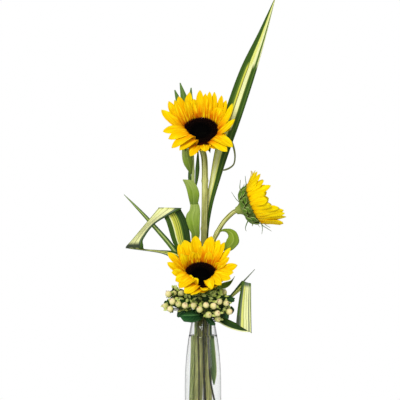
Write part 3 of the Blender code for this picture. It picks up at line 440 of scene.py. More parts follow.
def tube(grids, route, radius, sides, spacing, tone, slot, ends, ridges=0, joints=(), steps=8):
    """A stem along a route. ends is its last radius as a share of the first, ridges is how far it departs from round,
    and joints are heights where it swells. A tone of (heights, tones) changes along it."""
    line = smooth(route, steps)
    line = resampled(line, max(4, int(lengths(line)[-1] / spacing)))
    run, along = runs_of(line), lengths(line)
    side = unit(np.cross(run[0], (0.3, 1, 0.1)))
    turn = circle(sides)
    rings = []
    for place, (point, ahead) in enumerate(zip(line, run)):
        side = unit(side - ahead * (side @ ahead))
        swell = sum(0.16 * math.exp(-(((point[2] - joint) / 3.2) ** 2)) for joint in joints)
        size = radius * (1 + (ends - 1) * (place / (len(line) - 1))) * (1 + swell)
        shape = size * (1 + ridges * np.cos(5 * turn + 0.8 * math.sin(0.01 * along[place])))
        rings.append(point + shape[:, None] * around(turn, side, np.cross(ahead, side)))
    first, last = (line[end] - sign * run[end] * 0.12 * radius for end, sign in ((0, 1), (-1, -1)))
    points = np.array([first + (rings[0] - first) * 0.02, *rings, last + (rings[-1] - last) * 0.02])
    if isinstance(tone, tuple):
        tone = np.interp(points[:, :1, 2], *tone)
    along = np.concatenate([[along[0]], along, [along[-1]]])
    grain = stacked(np.cos(turn) * radius, np.sin(turn) * radius, along[:, None])
    grids.add(points, turn / math.tau, along / along[-1], tone, slot, True, grain)


def ribbon(grids, rows, columns, steps, slot=0, tone=0.5, wave=0):
    """A leaf blade through rows of (left edge, right edge, keel)."""
    dense = smooth(rows, steps)
    left, right, keel = dense[:, :3], dense[:, 3:6], dense[:, 6:]
    run, along = runs_of((left + right) / 2), lengths((left + right) / 2)
    back = np.cross(right - left, run)
    back /= np.maximum(np.linalg.norm(back, axis=1, keepdims=True), 1e-9)
    share = np.linspace(0, 1, columns + 1)
    off = 2 * share - 1
    fold = 1 - np.sqrt(off**2 + FOLD_ROUNDING**2 * (1 - off**2) * 0.25)
    fold = fold / fold.max()
    points = left[:, None] + (right - left)[:, None] * share[None, :, None]
    points = points + back[:, None] * (keel * fold)[..., None]
    ripple = wave * np.sin(along[:, None] * 0.11 + 2 * share) * np.abs(off) ** 2
    points = points + back[:, None] * ripple[..., None]
    grain = stacked(share * 20, along[:, None] * 0.1, tone * 9.0)
    grids.add(points, share, along / along[-1], tone, slot, False, grain)


def leaf(grids, route, widths, facing, keel, slot, tone, columns, wave):
    """A leaf along a route, as wide as widths says, its face turned towards the facing vector."""
    points = smooth(route, 2)
    stations = np.interp(np.linspace(0, len(widths) - 1, len(points)), range(len(widths)), widths)
    rows = []
    for index, (point, width) in enumerate(zip(points, stations)):
        run = points[min(index + 1, len(points) - 1)] - points[max(index - 1, 0)]
        side = unit(np.cross(run, facing)) * 0.5 * width
        rows.append((*(point - side), *(point + side), keel * width))
    ribbon(grids, rows, columns, 6, slot, tone, wave)


# ---------------- petals, discs and calyxes

PETAL_OUTLINE = (
    (0, 0.36), (0.12, 0.58), (0.3, 0.86), (0.5, 1), (0.68, 0.98), (0.82, 0.8), (0.92, 0.5), (0.97, 0.26), (1, 0.02),
)
BRACT_OUTLINE = ((0, 0.72), (0.2, 0.95), (0.36, 1), (0.52, 0.86), (0.66, 0.5), (0.78, 0.24), (0.9, 0.12), (1, 0.02))


def bezier(a, b, c, d, t):
    t = t[:, None]
    return a * (1 - t) ** 3 + 3 * b * t * (1 - t) ** 2 + 3 * c * t**2 * (1 - t) + d * t**3


def lay(head, local):
    """Points measured right, up and out from the centre of a head's face."""
    right, up, out = head_axes(head)
    return np.array(head.centre) + local[..., :1] * right + local[..., 1:2] * up + local[..., 2:] * out


def hang_at(head, angle):
    """How far back a petal or bract hangs: most at 180 degrees, the side of the right flower that the camera sees."""
    return head.hang * max(0, -math.cos(math.radians(angle)))


def petal(grids, head, spine, width, cup, twist, ripple, tone, bract=False):
    """A petal or bract along (angle, radius, height) knots in the head's own directions."""
    right, up, out = head_axes(head)
    knots = []
    for angle, radius, height in spine:
        turn = math.radians(angle)
        knots.append(right * math.cos(turn) * radius + up * math.sin(turn) * radius + out * height)
    line = resampled(smooth(knots, 12), PETAL_ROWS + 1)
    t = np.linspace(0, 1, PETAL_ROWS + 1)
    run = runs_of(line)
    mean = math.radians((spine[0][0] + spine[-1][0]) / 2)
    across_head = -right * math.sin(mean) + up * math.cos(mean)
    side = across_head - run * (run @ across_head)[:, None]
    side /= np.linalg.norm(side, axis=1, keepdims=True)
    inner = np.cross(side, run) * -1
    cos, sin = np.cos(twist * t)[:, None], np.sin(twist * t)[:, None]
    side, inner = side * cos + inner * sin, inner * cos - side * sin
    half = (0.5 * width * np.interp(t, *zip(*(BRACT_OUTLINE if bract else PETAL_OUTLINE))))[:, None]
    t = t[:, None]
    share = np.linspace(-1, 1, 7 if bract else 9)
    bend = cup * share**2 * (half * np.clip(2.5 * t - 0.3, 0, 1))
    bend = bend + ripple[0] * np.sin(ripple[1] * t + ripple[2] + 1.5 * share) * np.abs(share) ** 3
    if not bract:
        bend = bend + 0.3 * np.cos(2 * math.pi * share) * np.sin(math.pi * t)
    spread = share * half * np.cos(np.clip(cup, -1, 1) * 0.5 * share)
    points = np.array(head.centre) + line[:, None] + side[:, None] * spread[..., None]
    points = points + inner[:, None] * bend[..., None]
    grain = stacked(share * half, lengths(line)[:, None], 97.0 * tone)
    grids.add(points, share, t, tone, int(bract), False, grain)


def flower_petals(name, head):
    """The petals listed for the head, and shorter ones that fill between them behind."""
    rng = random.Random(head.seed)
    draw = rng.uniform
    disc, flare, grids, base = head.disc, head.flare, Grids(), 0.8 - DISC_DEPTH
    for order, (start, angle, radius, height, width, fold, arch, tone) in enumerate(head.petals):
        hung = hang_at(head, start)
        rim, rise = disc + 3 - fold + flare, -1.2 + 1.7 * fold - 1.2 * flare - 0.5 * hung
        spine = (
            (start, disc + 1.4 + 1.5 * (order % 2) + 0.1 * hung, base - hung),
            (start, rim, rise),
            (start + 0.55 * (angle - start), rim + 0.5 * (radius - rim), rise + 0.55 * (height - rise) + arch),
            (angle, radius, height + 1.6 * (order % 2)),
        )
        petal(grids, head, spine, width * 1.06, draw(0.02, 0.2), draw(-0.25, 0.25),
              (draw(0.2, 0.8), draw(5, 9), draw(0, 6)), tone + draw(-0.1, 0.45))
    rows = sorted(((start + angle) / 2, radius, height) for start, angle, radius, height, *_ in head.petals)
    for first, second in zip(rows, rows[1:] + [(rows[0][0] + 360, *rows[0][1:])]):
        gap = second[0] - first[0]
        count = int(gap > ONE_GAP) + int(gap > TWO_GAP)
        longest = max(first[1], second[1])
        for step in range(count):
            angle = first[0] + gap * ((step + 1) / (count + 1) + draw(-0.1, 0.1))
            radius = max(disc + 12, min(first[1], second[1]) * draw(*head.between))
            height = (first[2] + second[2]) / 2 * radius / longest - draw(2.5, 4.5 + 0.5 * head.hang)
            lean, hung, rim = draw(-3, 3), hang_at(head, angle), disc + 4.4
            spine = (
                (angle, disc + 3.4 + 0.1 * hung, base - 0.3 - hung),
                (angle, rim + flare, -1.5 - 1.2 * flare - 0.5 * hung),
                (angle + lean, rim + 0.5 * (radius - rim), 0.5 * height - 0.3 * hung),
                (angle + 2 * lean, radius, height),
            )
            petal(grids, head, spine, draw(12.5, 16), draw(0.1, 0.3), draw(-0.5, 0.5),
                  (draw(0.2, 0.9), draw(5, 9), draw(0, 6)), draw(0.4, 1))
    nodes = (name + "_inner_petals", name + "_outer_petals")
    grids.put(name + "_petal_ring", ["petal_back", "petal"], "petal", nodes, thickness=PETAL_THICKNESS)


def surface_height(disc, radius):
    return float(np.interp(radius / disc, (0, 0.3, 0.55, 0.82, 0.96, 1), (-3.6, -3, -2, -0.6, -1.6, -3.4)))


def flower_disc(name, head):
    """A dished disc packed with florets along golden-angle spirals, tallest in a ring near the rim."""
    rng = random.Random(head.seed + 100)
    disc, grids, turn, corner = head.disc, Grids(), circle(48), circle(5)
    profile = [(radius, surface_height(disc, radius) - 0.6)
               for radius in disc * np.array((0.02, 0.2, 0.4, 0.55, 0.7, 0.82, 0.92, 0.985))]
    profile += [(disc, -4.6), (disc, 1 - DISC_DEPTH), (disc - 2, -DISC_DEPTH), (0.3, -DISC_DEPTH)]
    body = revolved(profile, turn)
    grids.add(lay(head, body), turn / math.tau, [min(radius / disc, 1) for radius, _ in profile], 0.3, 0, True, body)
    for order in range(FLORETS):
        radius = disc * 0.985 * math.sqrt((order + 0.5) / FLORETS)
        angle = order * GOLDEN_ANGLE
        share = radius / disc
        tall = np.interp(share, (0, 0.25, 0.45, 0.6, 0.85, 1), (0.7, 0.9, 1.4, 2.6, 3, 2.6)) * rng.uniform(0.75, 1.2)
        wide = np.interp(share, (0, 0.45, 1), (0.5, 0.62, 0.72)) * rng.uniform(0.85, 1.15)
        lean = np.interp(share, (0, 0.7, 1), (-0.05, 0.1, 0.75)) + rng.uniform(-0.15, 0.15)
        away = np.array((math.cos(angle), math.sin(angle), 0))
        root = np.array((*(radius * away[:2]), surface_height(disc, radius) - 0.9))
        axis = unit(away * lean + np.array((0, 0, 1)) + np.array((-away[1], away[0], 0)) * rng.uniform(-0.2, 0.2))
        first = unit(np.cross(axis, away))
        edge = around(corner, first, np.cross(axis, first))
        points = np.array([root + axis * (tall + 0.9) * along + wide * size * edge
                           for along, size in ((0, 1), (0.55, 0.95), (0.85, 1.15 if share > 0.5 else 0.8), (1, 0.25))])
        across = np.array((0, 0.4, 0.8, 1))[:, None]
        grids.add(lay(head, points), across, share, rng.random(), 0, True, points)
    grids.put(name + "_florets", ["disc"], "disc", [name + "_disc"], closed=True)


def flower_calyx(name, head):
    """The green drum behind the petals, its trumpet down to the stem, and two rows of long-tipped bracts."""
    rng = random.Random(head.seed + 200)
    draw = rng.uniform
    disc, stem, end, drum, grids = head.disc, head.stem, -head.depth - 0.5, head.drum, Grids()
    back = -DISC_DEPTH - 0.3
    profile = smooth([
        (0.4, back), (disc * 0.6, back), (disc + 3.4, back), (disc + 3.8, back - 1.6), (disc + 2.2, back - 0.35 * drum),
        (disc - 2.5, back - 0.75 * drum), (0.76 * disc, back - drum), (0.42 * disc, back - drum - 2.2),
        (stem + 4.6, back - drum - 5.2), (stem + 2.9, back - drum - 8.4), (stem + 1.4, end), (0.4, end),
    ], 3)
    turn = circle(56)
    ribs = 1 + 0.02 * np.cos(11 * turn) * (profile[:, 1:] < back - drum - 1)
    local = revolved(profile, turn, ribs)
    grids.add(lay(head, local), turn / math.tau, np.linspace(0, 1, len(profile)), 0.5, 0, True, local)
    rows = (
        # count, four (radius, height from the back), width, shift
        (12, ((disc - 2, -0.72 * drum), (disc + 3.2, -0.45 * drum), (disc + 5.2, -1), (disc + 11.5, 5.5)), 13, 0.5),
        (11, ((0.7 * disc, -drum - 0.6), (disc - 0.5, -0.75 * drum), (disc + 4, -0.32 * drum), (disc + 11.5, -2.5)),
         15.5, 0),
    )
    for count, ((first, low), (second, waist), (third, high), (tip, top)), width, shift in rows:
        for order in range(count):
            angle = (order + shift + draw(-0.16, 0.16)) * 360 / count
            flare, drop, puff, hung = draw(-3, 4.5), draw(-6, 3), draw(0, 1.4), hang_at(head, angle)
            base, belt, brow, peak = low - 0.2 * hung, waist - 0.6 * hung, high - 1.4 * hung, top - 1.9 * hung
            spine = (
                (angle, first, back + base), (angle, second + puff, back + belt), (angle, third + puff, back + brow),
                (angle + draw(-2, 2), 0.5 * (third + tip) + 0.4 * flare, back + 0.5 * (brow + peak) + 0.1 * drop),
                (angle + draw(-8, 8), tip + flare, back + peak + drop),
            )
            petal(grids, head, spine, width * draw(0.9, 1.1), draw(0.12, 0.3), draw(-0.25, 0.25),
                  (draw(0.1, 0.5), draw(4, 8), draw(0, 6)), rng.random(), True)
    if name == "low_flower":
        spine = ((338, 30, back - 9), (345, 42, back - 7), (353, 51, back - 3), (361, 57, back + 3))
        petal(grids, head, spine, 13, 0.2, 0.2, (0.3, 6, 1), 1, True)
    if name == "right_flower":
        for route, radius in RIGHT_FILAMENTS:
            tube(grids, route, radius, 6, 1.5, 0.8, 1, 0.25, steps=4)
    nodes = (name + "_receptacle", name + "_bracts")
    grids.put(name + "_calyx", ["receptacle", "bract"], "receptacle", nodes, thickness=BRACT_THICKNESS)


# ---------------- berries

BERRY_PROFILE = (
    (0.05, -1.06), (0.34, -1), (0.66, -0.8), (0.89, -0.5), (0.995, -0.15), (0.97, 0.2), (0.84, 0.5), (0.62, 0.76),
    (0.36, 0.96), (0.15, 1.08), (0.02, 1.12),
)


def berry(grids, centre, axis, size, tone, rng):
    """A plump berry on its calyx of five sepals, with three short styles at its tip."""
    axis = unit(axis)
    side = unit(np.cross(axis, (0.31, 0.22, 0.93)))
    other = np.cross(axis, side)
    turn = circle(16)
    radii, heights = np.array(BERRY_PROFILE).T
    lobes = 1 + 0.025 * np.cos(3 * turn) * np.clip(heights, 0, 1)[:, None]
    points = centre + (heights[:, None] * axis)[:, None] * size
    points = points + (radii[:, None] * lobes)[..., None] * size * around(turn, side, other)
    grids.add(points, turn / math.tau, np.linspace(0, 1, len(radii)), tone, 1, True, points - centre + tone * 40)
    for order in range(5):
        angle = math.tau * (order + rng.uniform(-0.12, 0.12)) / 5
        away, tangent = around(np.array((angle, angle + math.pi / 2)), side, other)
        t = np.linspace(0, 1, 6)
        opened = rng.uniform(0.15, 0.7)
        line = bezier(-1.1 * axis, -1.05 * axis + 0.75 * away, -0.75 * axis + 1.15 * away,
                      (-0.2 - 0.25 * opened) * axis + (1.1 + 0.45 * opened) * away, t) * size
        half = 0.36 * size * np.interp(t, (0, 0.35, 0.6, 0.85, 1), (0.4, 1, 0.95, 0.5, 0.05))[:, None]
        share = np.linspace(-1, 1, 5)
        blade = centre + line[:, None] + tangent * (share * half)[..., None]
        blade = blade - away * (0.12 * size * share**2)[:, None]
        grids.add(blade, share, t, rng.random(), 2)
    for order in range(3):
        angle = math.tau * order / 3 + tone
        away = around(angle, side, other)
        start, end = centre + axis * size * 1.04, centre + (axis * 1.34 + away * 0.22) * size
        tube(grids, [start, start * 0.5 + end * 0.5 + axis * 0.1, end], 0.28, 5, 1, 0.5, 3, 0.4, steps=2)


def above_rim(route, margin):
    stem = smooth(route, 6)
    return stem[stem[:, 2] > VASE_HEIGHT + margin]


def sprig(name, route, berries, leaflets, seed):
    """A woody sprig: stem, stalks, berries and the narrow green leaves among them."""
    rng = random.Random(seed)
    grids = Grids()
    joints = [knot[2] for knot in route[1:-1]]
    # Painted shade on the sprig's stem inside the vase, less on the left sprig, and little above the rim.
    painted_shading = 0.15 if name == "left_berry_sprig" else 0.8
    tube(grids, route, SPRIG_RADIUS, 10, 2.5, ((0, 284, 300), (painted_shading, painted_shading, 0.1)), 0, 0.8, 0.05, joints)
    above = above_rim(route, 6)
    for centre in berries:
        centre = np.array(centre)
        cost = np.linalg.norm(above - centre, axis=1) + 2 * np.maximum(0, above[:, 2] - centre[2] + 4)
        start = above[np.argmin(cost)]
        middle = (start + centre) / 2 - np.array((0, 0, 2))
        axis = unit(centre - middle + np.array((rng.uniform(-2, 2), rng.uniform(-3, 0), rng.uniform(-2, 3))))
        base = centre - axis * BERRY_RADIUS * 1.02
        tube(grids, [start, middle, base], STALK_RADIUS, 7, 2, 0.5, 0, 1.25, steps=5)
        berry(grids, centre, axis, BERRY_RADIUS * rng.uniform(0.94, 1.06), rng.random(), rng)
    for start, end, bow, width, tone in leaflets:
        middle = (start + end) / 2 + np.array(bow)
        widths = [0.25 * width, 0.85 * width, width, 0.7 * width, 0.3]
        leaf(grids, [start, middle, end], widths, (0.1, -1, 0.5), 0.16, 2, tone, 4, 0.2)
    grids.put(name + "_with_berries", ["twig", "berry", "sepal", "style"], "berry_sprig", [name])


def leaflets_of(route, seed, count):
    """Narrow leaves that stand out from the upper part of a sprig."""
    rng = random.Random(seed)
    above = above_rim(route, 4)
    made = []
    for order in range(count):
        start = above[int((order + rng.random()) / count * (len(above) - 1))]
        heading = math.atan2(start[1], start[0]) + rng.uniform(-1.1, 1.1)
        away = np.array((math.cos(heading), math.sin(heading), rng.uniform(-0.5, 0.75)))
        end = start + away * rng.uniform(11, 19)
        made.append((start, end, (0, 0, rng.uniform(0, 3)), rng.uniform(3.5, 7.5), rng.random()))
    return made


def greenery_of(places, seed, narrow):
    """Broad dark leaves behind the places, and narrow lime ones that stand out between them."""
    rng = random.Random(seed)
    draw = rng.uniform
    made = []
    for x, y, z in places:
        heading, reach = draw(0, math.tau), draw(7, 11)
        away = np.array((math.cos(heading), draw(-0.3, 0.1), 0.7 * math.sin(heading)))
        middle = np.array((x, y + draw(9, 15), z)) + draw(-4, 4) * np.array((1, 0, 0.4))
        made.append((middle - away * reach, middle + away * reach, (0, -1, 1), draw(9, 13), draw(0, 0.25)))
        for _ in range(narrow):
            heading = draw(-0.4, math.pi + 0.4)
            away = np.array((math.cos(heading), draw(-0.5, 0.2), math.sin(heading)))
            root = np.array((x, y + draw(2, 8), z)) + away * draw(1, 5)
            made.append((root, root + away * draw(6, 9), (0, -1, 0.3), draw(3.4, 5), draw(0.8, 1)))
    return made


# ---------------- materials


class Nodes:
    """Makes and links the nodes of a tree."""

    def __init__(self, tree):
        self.tree, self.numbers = tree, {}

    def link(self, value, socket):
        """Links a socket or a number kept on the mesh, which is given by its name, or else sets the value."""
        if isinstance(value, str):
            value = self.read(value)
        if isinstance(value, bpy.types.NodeSocket):
            self.tree.links.new(value, socket)
        else:
            colour = socket.type == "RGBA" and isinstance(value, tuple)
            socket.default_value = (*value, 1) if colour else value

    def read(self, name):
        if name not in self.numbers:
            output = "Vector" if name == "grain" else "Fac"
            self.numbers[name] = self.node("Attribute", {}, output, attribute_name=name)
        return self.numbers[name]

    def node(self, kind, inputs, output=0, **settings):
        """A node's output, after its settings are made and its inputs linked or set."""
        made = self.tree.nodes.new("ShaderNode" + kind)
        for label, value in settings.items():
            setattr(made, label, value)
        for key, value in inputs.items():
            self.link(value, made.inputs[key])
        return made.outputs[output]

    def calc(self, operation, first, second=0):
        return self.node("Math", {0: first, 1: second}, operation=operation)


class Paint(Nodes):
    """A Principled material whose colours come from the numbers kept on the mesh. colour is what is laid so far."""

    def __init__(self, name, roughness, specular=0.5, **uniform):
        self.material = bpy.data.materials.new(name)
        self.material.use_nodes = True
        super().__init__(self.material.node_tree)
        self.shader = self.tree.nodes["Principled BSDF"].inputs
        for label, value in {"Roughness": roughness, "Specular_IOR_Level": specular, **uniform}.items():
            self.link(value, self.shader[label.replace("_", " ")])

    def noise(self, stretch, detail=3, rough=0.55, source="grain"):
        """Noise read over the grain, stretched along each axis."""
        scaled = self.node("VectorMath", {0: source, 1: stretch}, operation="MULTIPLY")
        return self.node("TexNoise", {"Vector": scaled, "Scale": 1, "Detail": detail, "Roughness": rough}, "Fac")

    def ramp(self, share, *stops):
        """Colours or greys at places from 0 to 1."""
        node = self.tree.nodes.new("ShaderNodeValToRGB")
        bar = node.color_ramp
        while len(bar.elements) < len(stops):
            bar.elements.new(1)
        for element, (place, colour) in zip(bar.elements, stops):
            element.position = place
            element.color = (*(colour if isinstance(colour, tuple) else (colour,) * 3), 1)
        self.link(share, node.inputs["Fac"])
        return node.outputs["Color"]

    def rise(self, share, start, end, low=0, high=1):
        """Low up to start, then changing to high at end."""
        return self.ramp(share, (start, low), (end, high))

    def mix(self, share, first, second, kind="MIX"):
        inputs = {0: share, 6: first, 7: second}
        return self.node("Mix", inputs, 2, data_type="RGBA", blend_type=kind, clamp_factor=True)

    def layer(self, mask, strength, colour, kind="MIX"):
        """Lays a colour over the others, as much as the mask times the strength says."""
        self.colour = self.mix(self.calc("MULTIPLY", mask, strength), self.colour, colour, kind)

    def over(self, source, start, end, strength, colour):
        """Lays a colour over the others as the source rises from start to end."""
        self.layer(self.rise(source, start, end), strength, colour)

    def finish(self, height=None, distance=0):
        """The material, with the height's bumps up to distance high."""
        self.link(self.colour, self.shader["Base Color"])
        if height is not None:
            bumps = {"Strength": 1, "Distance": distance * MM, "Height": height}
            self.link(self.node("Bump", bumps), self.shader["Normal"])
        return self.material


def petal_paint(name, lemon, golden, painted_base_shade):
    paint = Paint(name, 0.6, 0.06)
    paint.colour = paint.mix("tone", paint.ramp("along", *lemon), paint.ramp("along", *golden))
    veins = paint.noise((1.3, 0.03, 1), 4)
    paint.over(veins, 0.3, 0.7, 0.5, (0.78, 0.33, 0))
    paint.over(paint.noise((0.4, 0.02, 1), 2), 0.46, 0.62, 0.55, (0.7, 0.36, 0))
    paint.over(paint.noise((0.5, 0.05, 1)), 0.5, 0.68, 0.7, (1, 0.84, 0.01))
    paint.over(paint.noise((0.1, 0.06, 1), 2), 0.45, 0.7, 0.35, (0.66, 0.44, 0))
    # Painted shade: orange-red on the margins near the base, where the petals crowd at the disc and shade each other.
    edge = paint.rise(paint.calc("ABSOLUTE", "across"), 0.5, 1)
    paint.layer(paint.calc("MULTIPLY", edge, paint.rise("along", 0.2, 0.45, 1, 0)), painted_base_shade, (0.66, 0.1, 0))
    return paint.finish(veins, 0.28)


# Colours along a lemon and a golden petal. Their red-brown and orange towards the base are partly the petals' own
# colour and partly painted shade where the petals meet the disc.
PETAL_FACE = (
    ((0, (0.26, 0.01, 0)), (0.22, (0.48, 0.05, 0)), (0.32, (0.8, 0.22, 0)), (0.44, (0.92, 0.46, 0)),
     (0.58, (0.95, 0.68, 0)), (0.85, (0.97, 0.79, 0)), (1, (0.72, 0.72, 0.02))),
    ((0, (0.26, 0.01, 0)), (0.26, (0.52, 0.06, 0)), (0.42, (0.8, 0.25, 0)), (0.6, (0.91, 0.46, 0)),
     (0.85, (0.95, 0.62, 0)), (1, (0.8, 0.62, 0.01))),
)
# The same for the petals' backs, where the orange near the base is partly painted shade.
PETAL_BACK = (
    ((0, (0.75, 0.38, 0)), (0.12, (0.96, 0.68, 0)), (0.34, (0.98, 0.8, 0)), (0.5, (1, 0.84, 0)), (0.88, (1, 0.88, 0)),
     (1, (0.6, 0.74, 0.01))),
    ((0, (0.66, 0.26, 0)), (0.14, (0.92, 0.5, 0)), (0.4, (0.98, 0.66, 0)), (0.6, (0.98, 0.72, 0)),
     (0.88, (0.98, 0.78, 0)), (1, (0.74, 0.72, 0.01))),
)


def disc_paint():
    paint = Paint("disc", 0.8, 0.06)
    low = paint.ramp("along", (0, 0.001), (0.55, 0.001), (0.8, (0.004, 0.001, 0.001)), (1, (0.03, 0.003, 0.002)))
    # The floret tips turn dark brown from 0.72 of the radius. This is partly their own colour and partly a painted
    # highlight for the ring that the disc shows. The rim is maroon.
    high = paint.ramp("along", (0, (0.004, 0.005, 0.002)), (0.5, (0.003, 0.002, 0.002)), (0.72, (0.022, 0.01, 0.006)),
                      (0.86, (0.022, 0.006, 0.004)), (1, (0.11, 0.01, 0.005)))
    paint.colour = paint.mix(paint.rise("across", 0.55, 1), low, high)
    paint.layer("tone", 0.5, (0.004, 0.003, 0.004))
    return paint.finish(paint.noise((1.4, 1.4, 1.4), 2), 0.3)


def receptacle_paint():
    paint = Paint("receptacle", 0.6, 0.15)
    paint.colour = paint.ramp("along", (0, (0.05, 0.09, 0.005)), (0.45, (0.07, 0.13, 0.01)), (0.7, (0.22, 0.29, 0.05)),
                              (1, (0.34, 0.37, 0.09)))
    mottle = paint.rise(paint.noise((0.5, 0.5, 0.25), 4), 0.35, 0.75, 0, 0.5)
    paint.colour = paint.mix(mottle, paint.colour, (0.34, 0.42, 0.11))
    return paint.finish(paint.noise((2.2, 2.2, 0.6)), 0.35)


def bract_paint():
    paint = Paint("bract", 0.55, 0.15)
    paint.colour = paint.ramp("along", (0, (0.34, 0.42, 0.13)), (0.2, (0.16, 0.28, 0.04)), (0.5, (0.08, 0.19, 0.015)),
                              (0.75, (0.05, 0.11, 0.008)), (0.88, (0.09, 0.1, 0.02)), (1, (0.13, 0.09, 0.03)))
    paint.layer("tone", 0.4, (0.04, 0.11, 0.008))
    veins = paint.noise((1.3, 0.05, 1), 4)
    paint.over(veins, 0.4, 0.7, 0.45, (0.22, 0.34, 0.05))
    paint.over(paint.calc("ABSOLUTE", "across"), 0.74, 0.92, 0.75, (0.44, 0.53, 0.18))
    return paint.finish(veins, 0.6)


def stem_paint(name, dark, plain, light):
    paint = Paint(name, 0.5, 0.2)
    streaks = paint.noise((0.9, 0.9, 0.012), 4)
    paint.colour = paint.ramp(streaks, (0.38, dark), (0.5, plain), (0.6, light))
    paint.over(paint.noise((0.25, 0.25, 0.07)), 0.4, 0.75, 0.4, light)
    # A tone below zero paints light on the stem, and one above it paints shade.
    paint.layer("tone", -0.8, light)
    paint.layer("tone", 0.8, dark)
    return paint.finish(streaks, 0.5)


def leaf_paint(name, base, middle, tip, vein, dark, roughness=0.45, rib=0.5, bump=0.5, ribs=0):
    """A net-veined leaf: a pale midrib, side veins and mottled green between them."""
    paint = Paint(name, roughness, 0.22)
    calc = paint.calc
    paint.colour = paint.ramp("along", (0, base), (0.5, middle), (1, tip))
    paint.over(paint.noise((0.32, 0.36, 1), 4), 0.35, 0.7, 0.55, dark)
    paint.layer("tone", 0.35, dark)
    lines = paint.noise((2.4, 0.12, 1))
    paint.over(lines, 0.45, 0.75, 0.4, vein)
    off = calc("ABSOLUTE", calc("SUBTRACT", "across", 0.5))
    midrib = paint.rise(off, 0.02, 0.07, 1, 0)
    height = calc("ADD", calc("MULTIPLY", lines, 0.6), calc("MULTIPLY", midrib, 0.5))
    if ribs:
        slant = calc("SUBTRACT", calc("MULTIPLY", "along", ribs), calc("MULTIPLY", off, ribs * 0.55))
        wave = calc("ABSOLUTE", calc("SINE", calc("MULTIPLY", slant, math.pi)))
        paint.layer(paint.rise(wave, 0, 0.2, 1, 0), 0.35, vein)
        height = calc("ADD", height, calc("MULTIPLY", wave, 0.6))
    paint.layer(midrib, rib, vein)
    return paint.finish(height, bump)


# Half the width of the blurred line between two stripes, and between two sections.
STRIPE_BLUR = 0.012
SECTION_BLUR = 0.008


def flax_paint(name, sections):
    """Stripes that change along the blade."""
    paint = Paint(name, 0.5, 0.2)
    wander = paint.calc("SUBTRACT", paint.noise((0, 0.35, 1), 2), 0.5)
    across = paint.calc("ADD", "across", paint.calc("MULTIPLY", wander, 0.035))
    for place, *stripes in sections:
        stops = [(STRIPE_BLUR, stripes[0][1])]
        for (_, before), (edge, after) in zip(stripes, stripes[1:]):
            stops += [(edge - STRIPE_BLUR, before), (edge + STRIPE_BLUR, after)]
        section = paint.ramp(across, *stops)
        if place:
            section = paint.mix(paint.rise("along", place - SECTION_BLUR, place + SECTION_BLUR), paint.colour, section)
        paint.colour = section
    threads = paint.noise((3.2, 0.06, 1), 4, 0.7)
    paint.over(threads, 0.52, 0.66, 0.3, OLIVE)
    paint.layer(paint.rise(threads, 0.3, 0.45, 1, 0), 0.3, PALE, "SOFT_LIGHT")
    paint.over(paint.noise((1.4, 0.25, 1)), 0.4, 0.75, 0.18, (0.02, 0.05, 0.02))
    return paint.finish(threads, 0.55)


def berry_paint():
    paint = Paint("berry", 0.35, 0.3, Subsurface_Weight=0.08, Subsurface_Radius=(0.004, 0.003, 0.001))
    cream = paint.ramp("along", (0, (0.26, 0.32, 0.04)), (0.25, (0.54, 0.53, 0.12)), (0.55, (0.78, 0.72, 0.3)),
                       (0.8, (0.86, 0.74, 0.4)), (0.93, (0.7, 0.4, 0.2)), (1, (0.2, 0.08, 0.03)))
    green = paint.ramp("along", (0, (0.16, 0.26, 0.03)), (0.35, (0.4, 0.47, 0.08)), (0.8, (0.62, 0.62, 0.2)),
                       (0.94, (0.56, 0.36, 0.14)), (1, (0.2, 0.08, 0.03)))
    paint.colour = paint.mix(paint.rise("tone", 0.55, 0.95, 0, 0.85), cream, green)
    blotch = paint.noise((0.3, 0.3, 0.3), 4)
    paint.over(blotch, 0.45, 0.7, 0.3, (0.9, 0.66, 0.56))
    paint.over(paint.noise((1.6, 1.6, 1.6), 2), 0.62, 0.72, 0.35, (0.46, 0.36, 0.14))
    return paint.finish(blotch, 0.25)


def sepal_paint():
    paint = Paint("sepal", 0.45, 0.25)
    paint.colour = paint.ramp("tone", (0, (0.006, 0.03, 0.006)), (0.35, (0.02, 0.07, 0.008)), (0.65, (0.1, 0.2, 0.02)),
                              (0.8, (0.4, 0.5, 0.08)), (1, (0.66, 0.72, 0.24)))
    veins = paint.noise((1.6, 0.4, 1))
    paint.over(veins, 0.4, 0.75, paint.rise("tone", 0.2, 0.8, 0.06, 0.45), (0.36, 0.46, 0.14))
    paint.layer(paint.rise("along", 0.85, 1, 0, 0.5), "tone", (0.4, 0.36, 0.12))
    return paint.finish(veins, 0.4)


def twig_paint():
    paint = Paint("twig", 0.6, 0.06)
    bark = paint.noise((1.8, 1.8, 0.25), 4)
    paint.colour = paint.ramp(bark, (0.3, (0.05, 0.05, 0.02)), (0.5, (0.13, 0.13, 0.045)), (0.75, (0.3, 0.28, 0.12)))
    # The tone darkens the bark. On a sprig's stem inside the vase, this is painted shade.
    paint.layer("tone", 0.85, (0.01, 0.012, 0.004))
    return paint.finish(bark, 0.6)


def style_paint():
    paint = Paint("style", 0.6)
    fleck = paint.noise((3, 3, 3), 2)
    paint.colour = paint.rise(fleck, 0.3, 0.7, (0.1, 0.04, 0.02), (0.26, 0.13, 0.06))
    return paint.finish(fleck, 0.1)


def clear_paint(name, tint, index):
    return Paint(name, 0, Base_Color=tint, Transmission_Weight=1, IOR=index).material


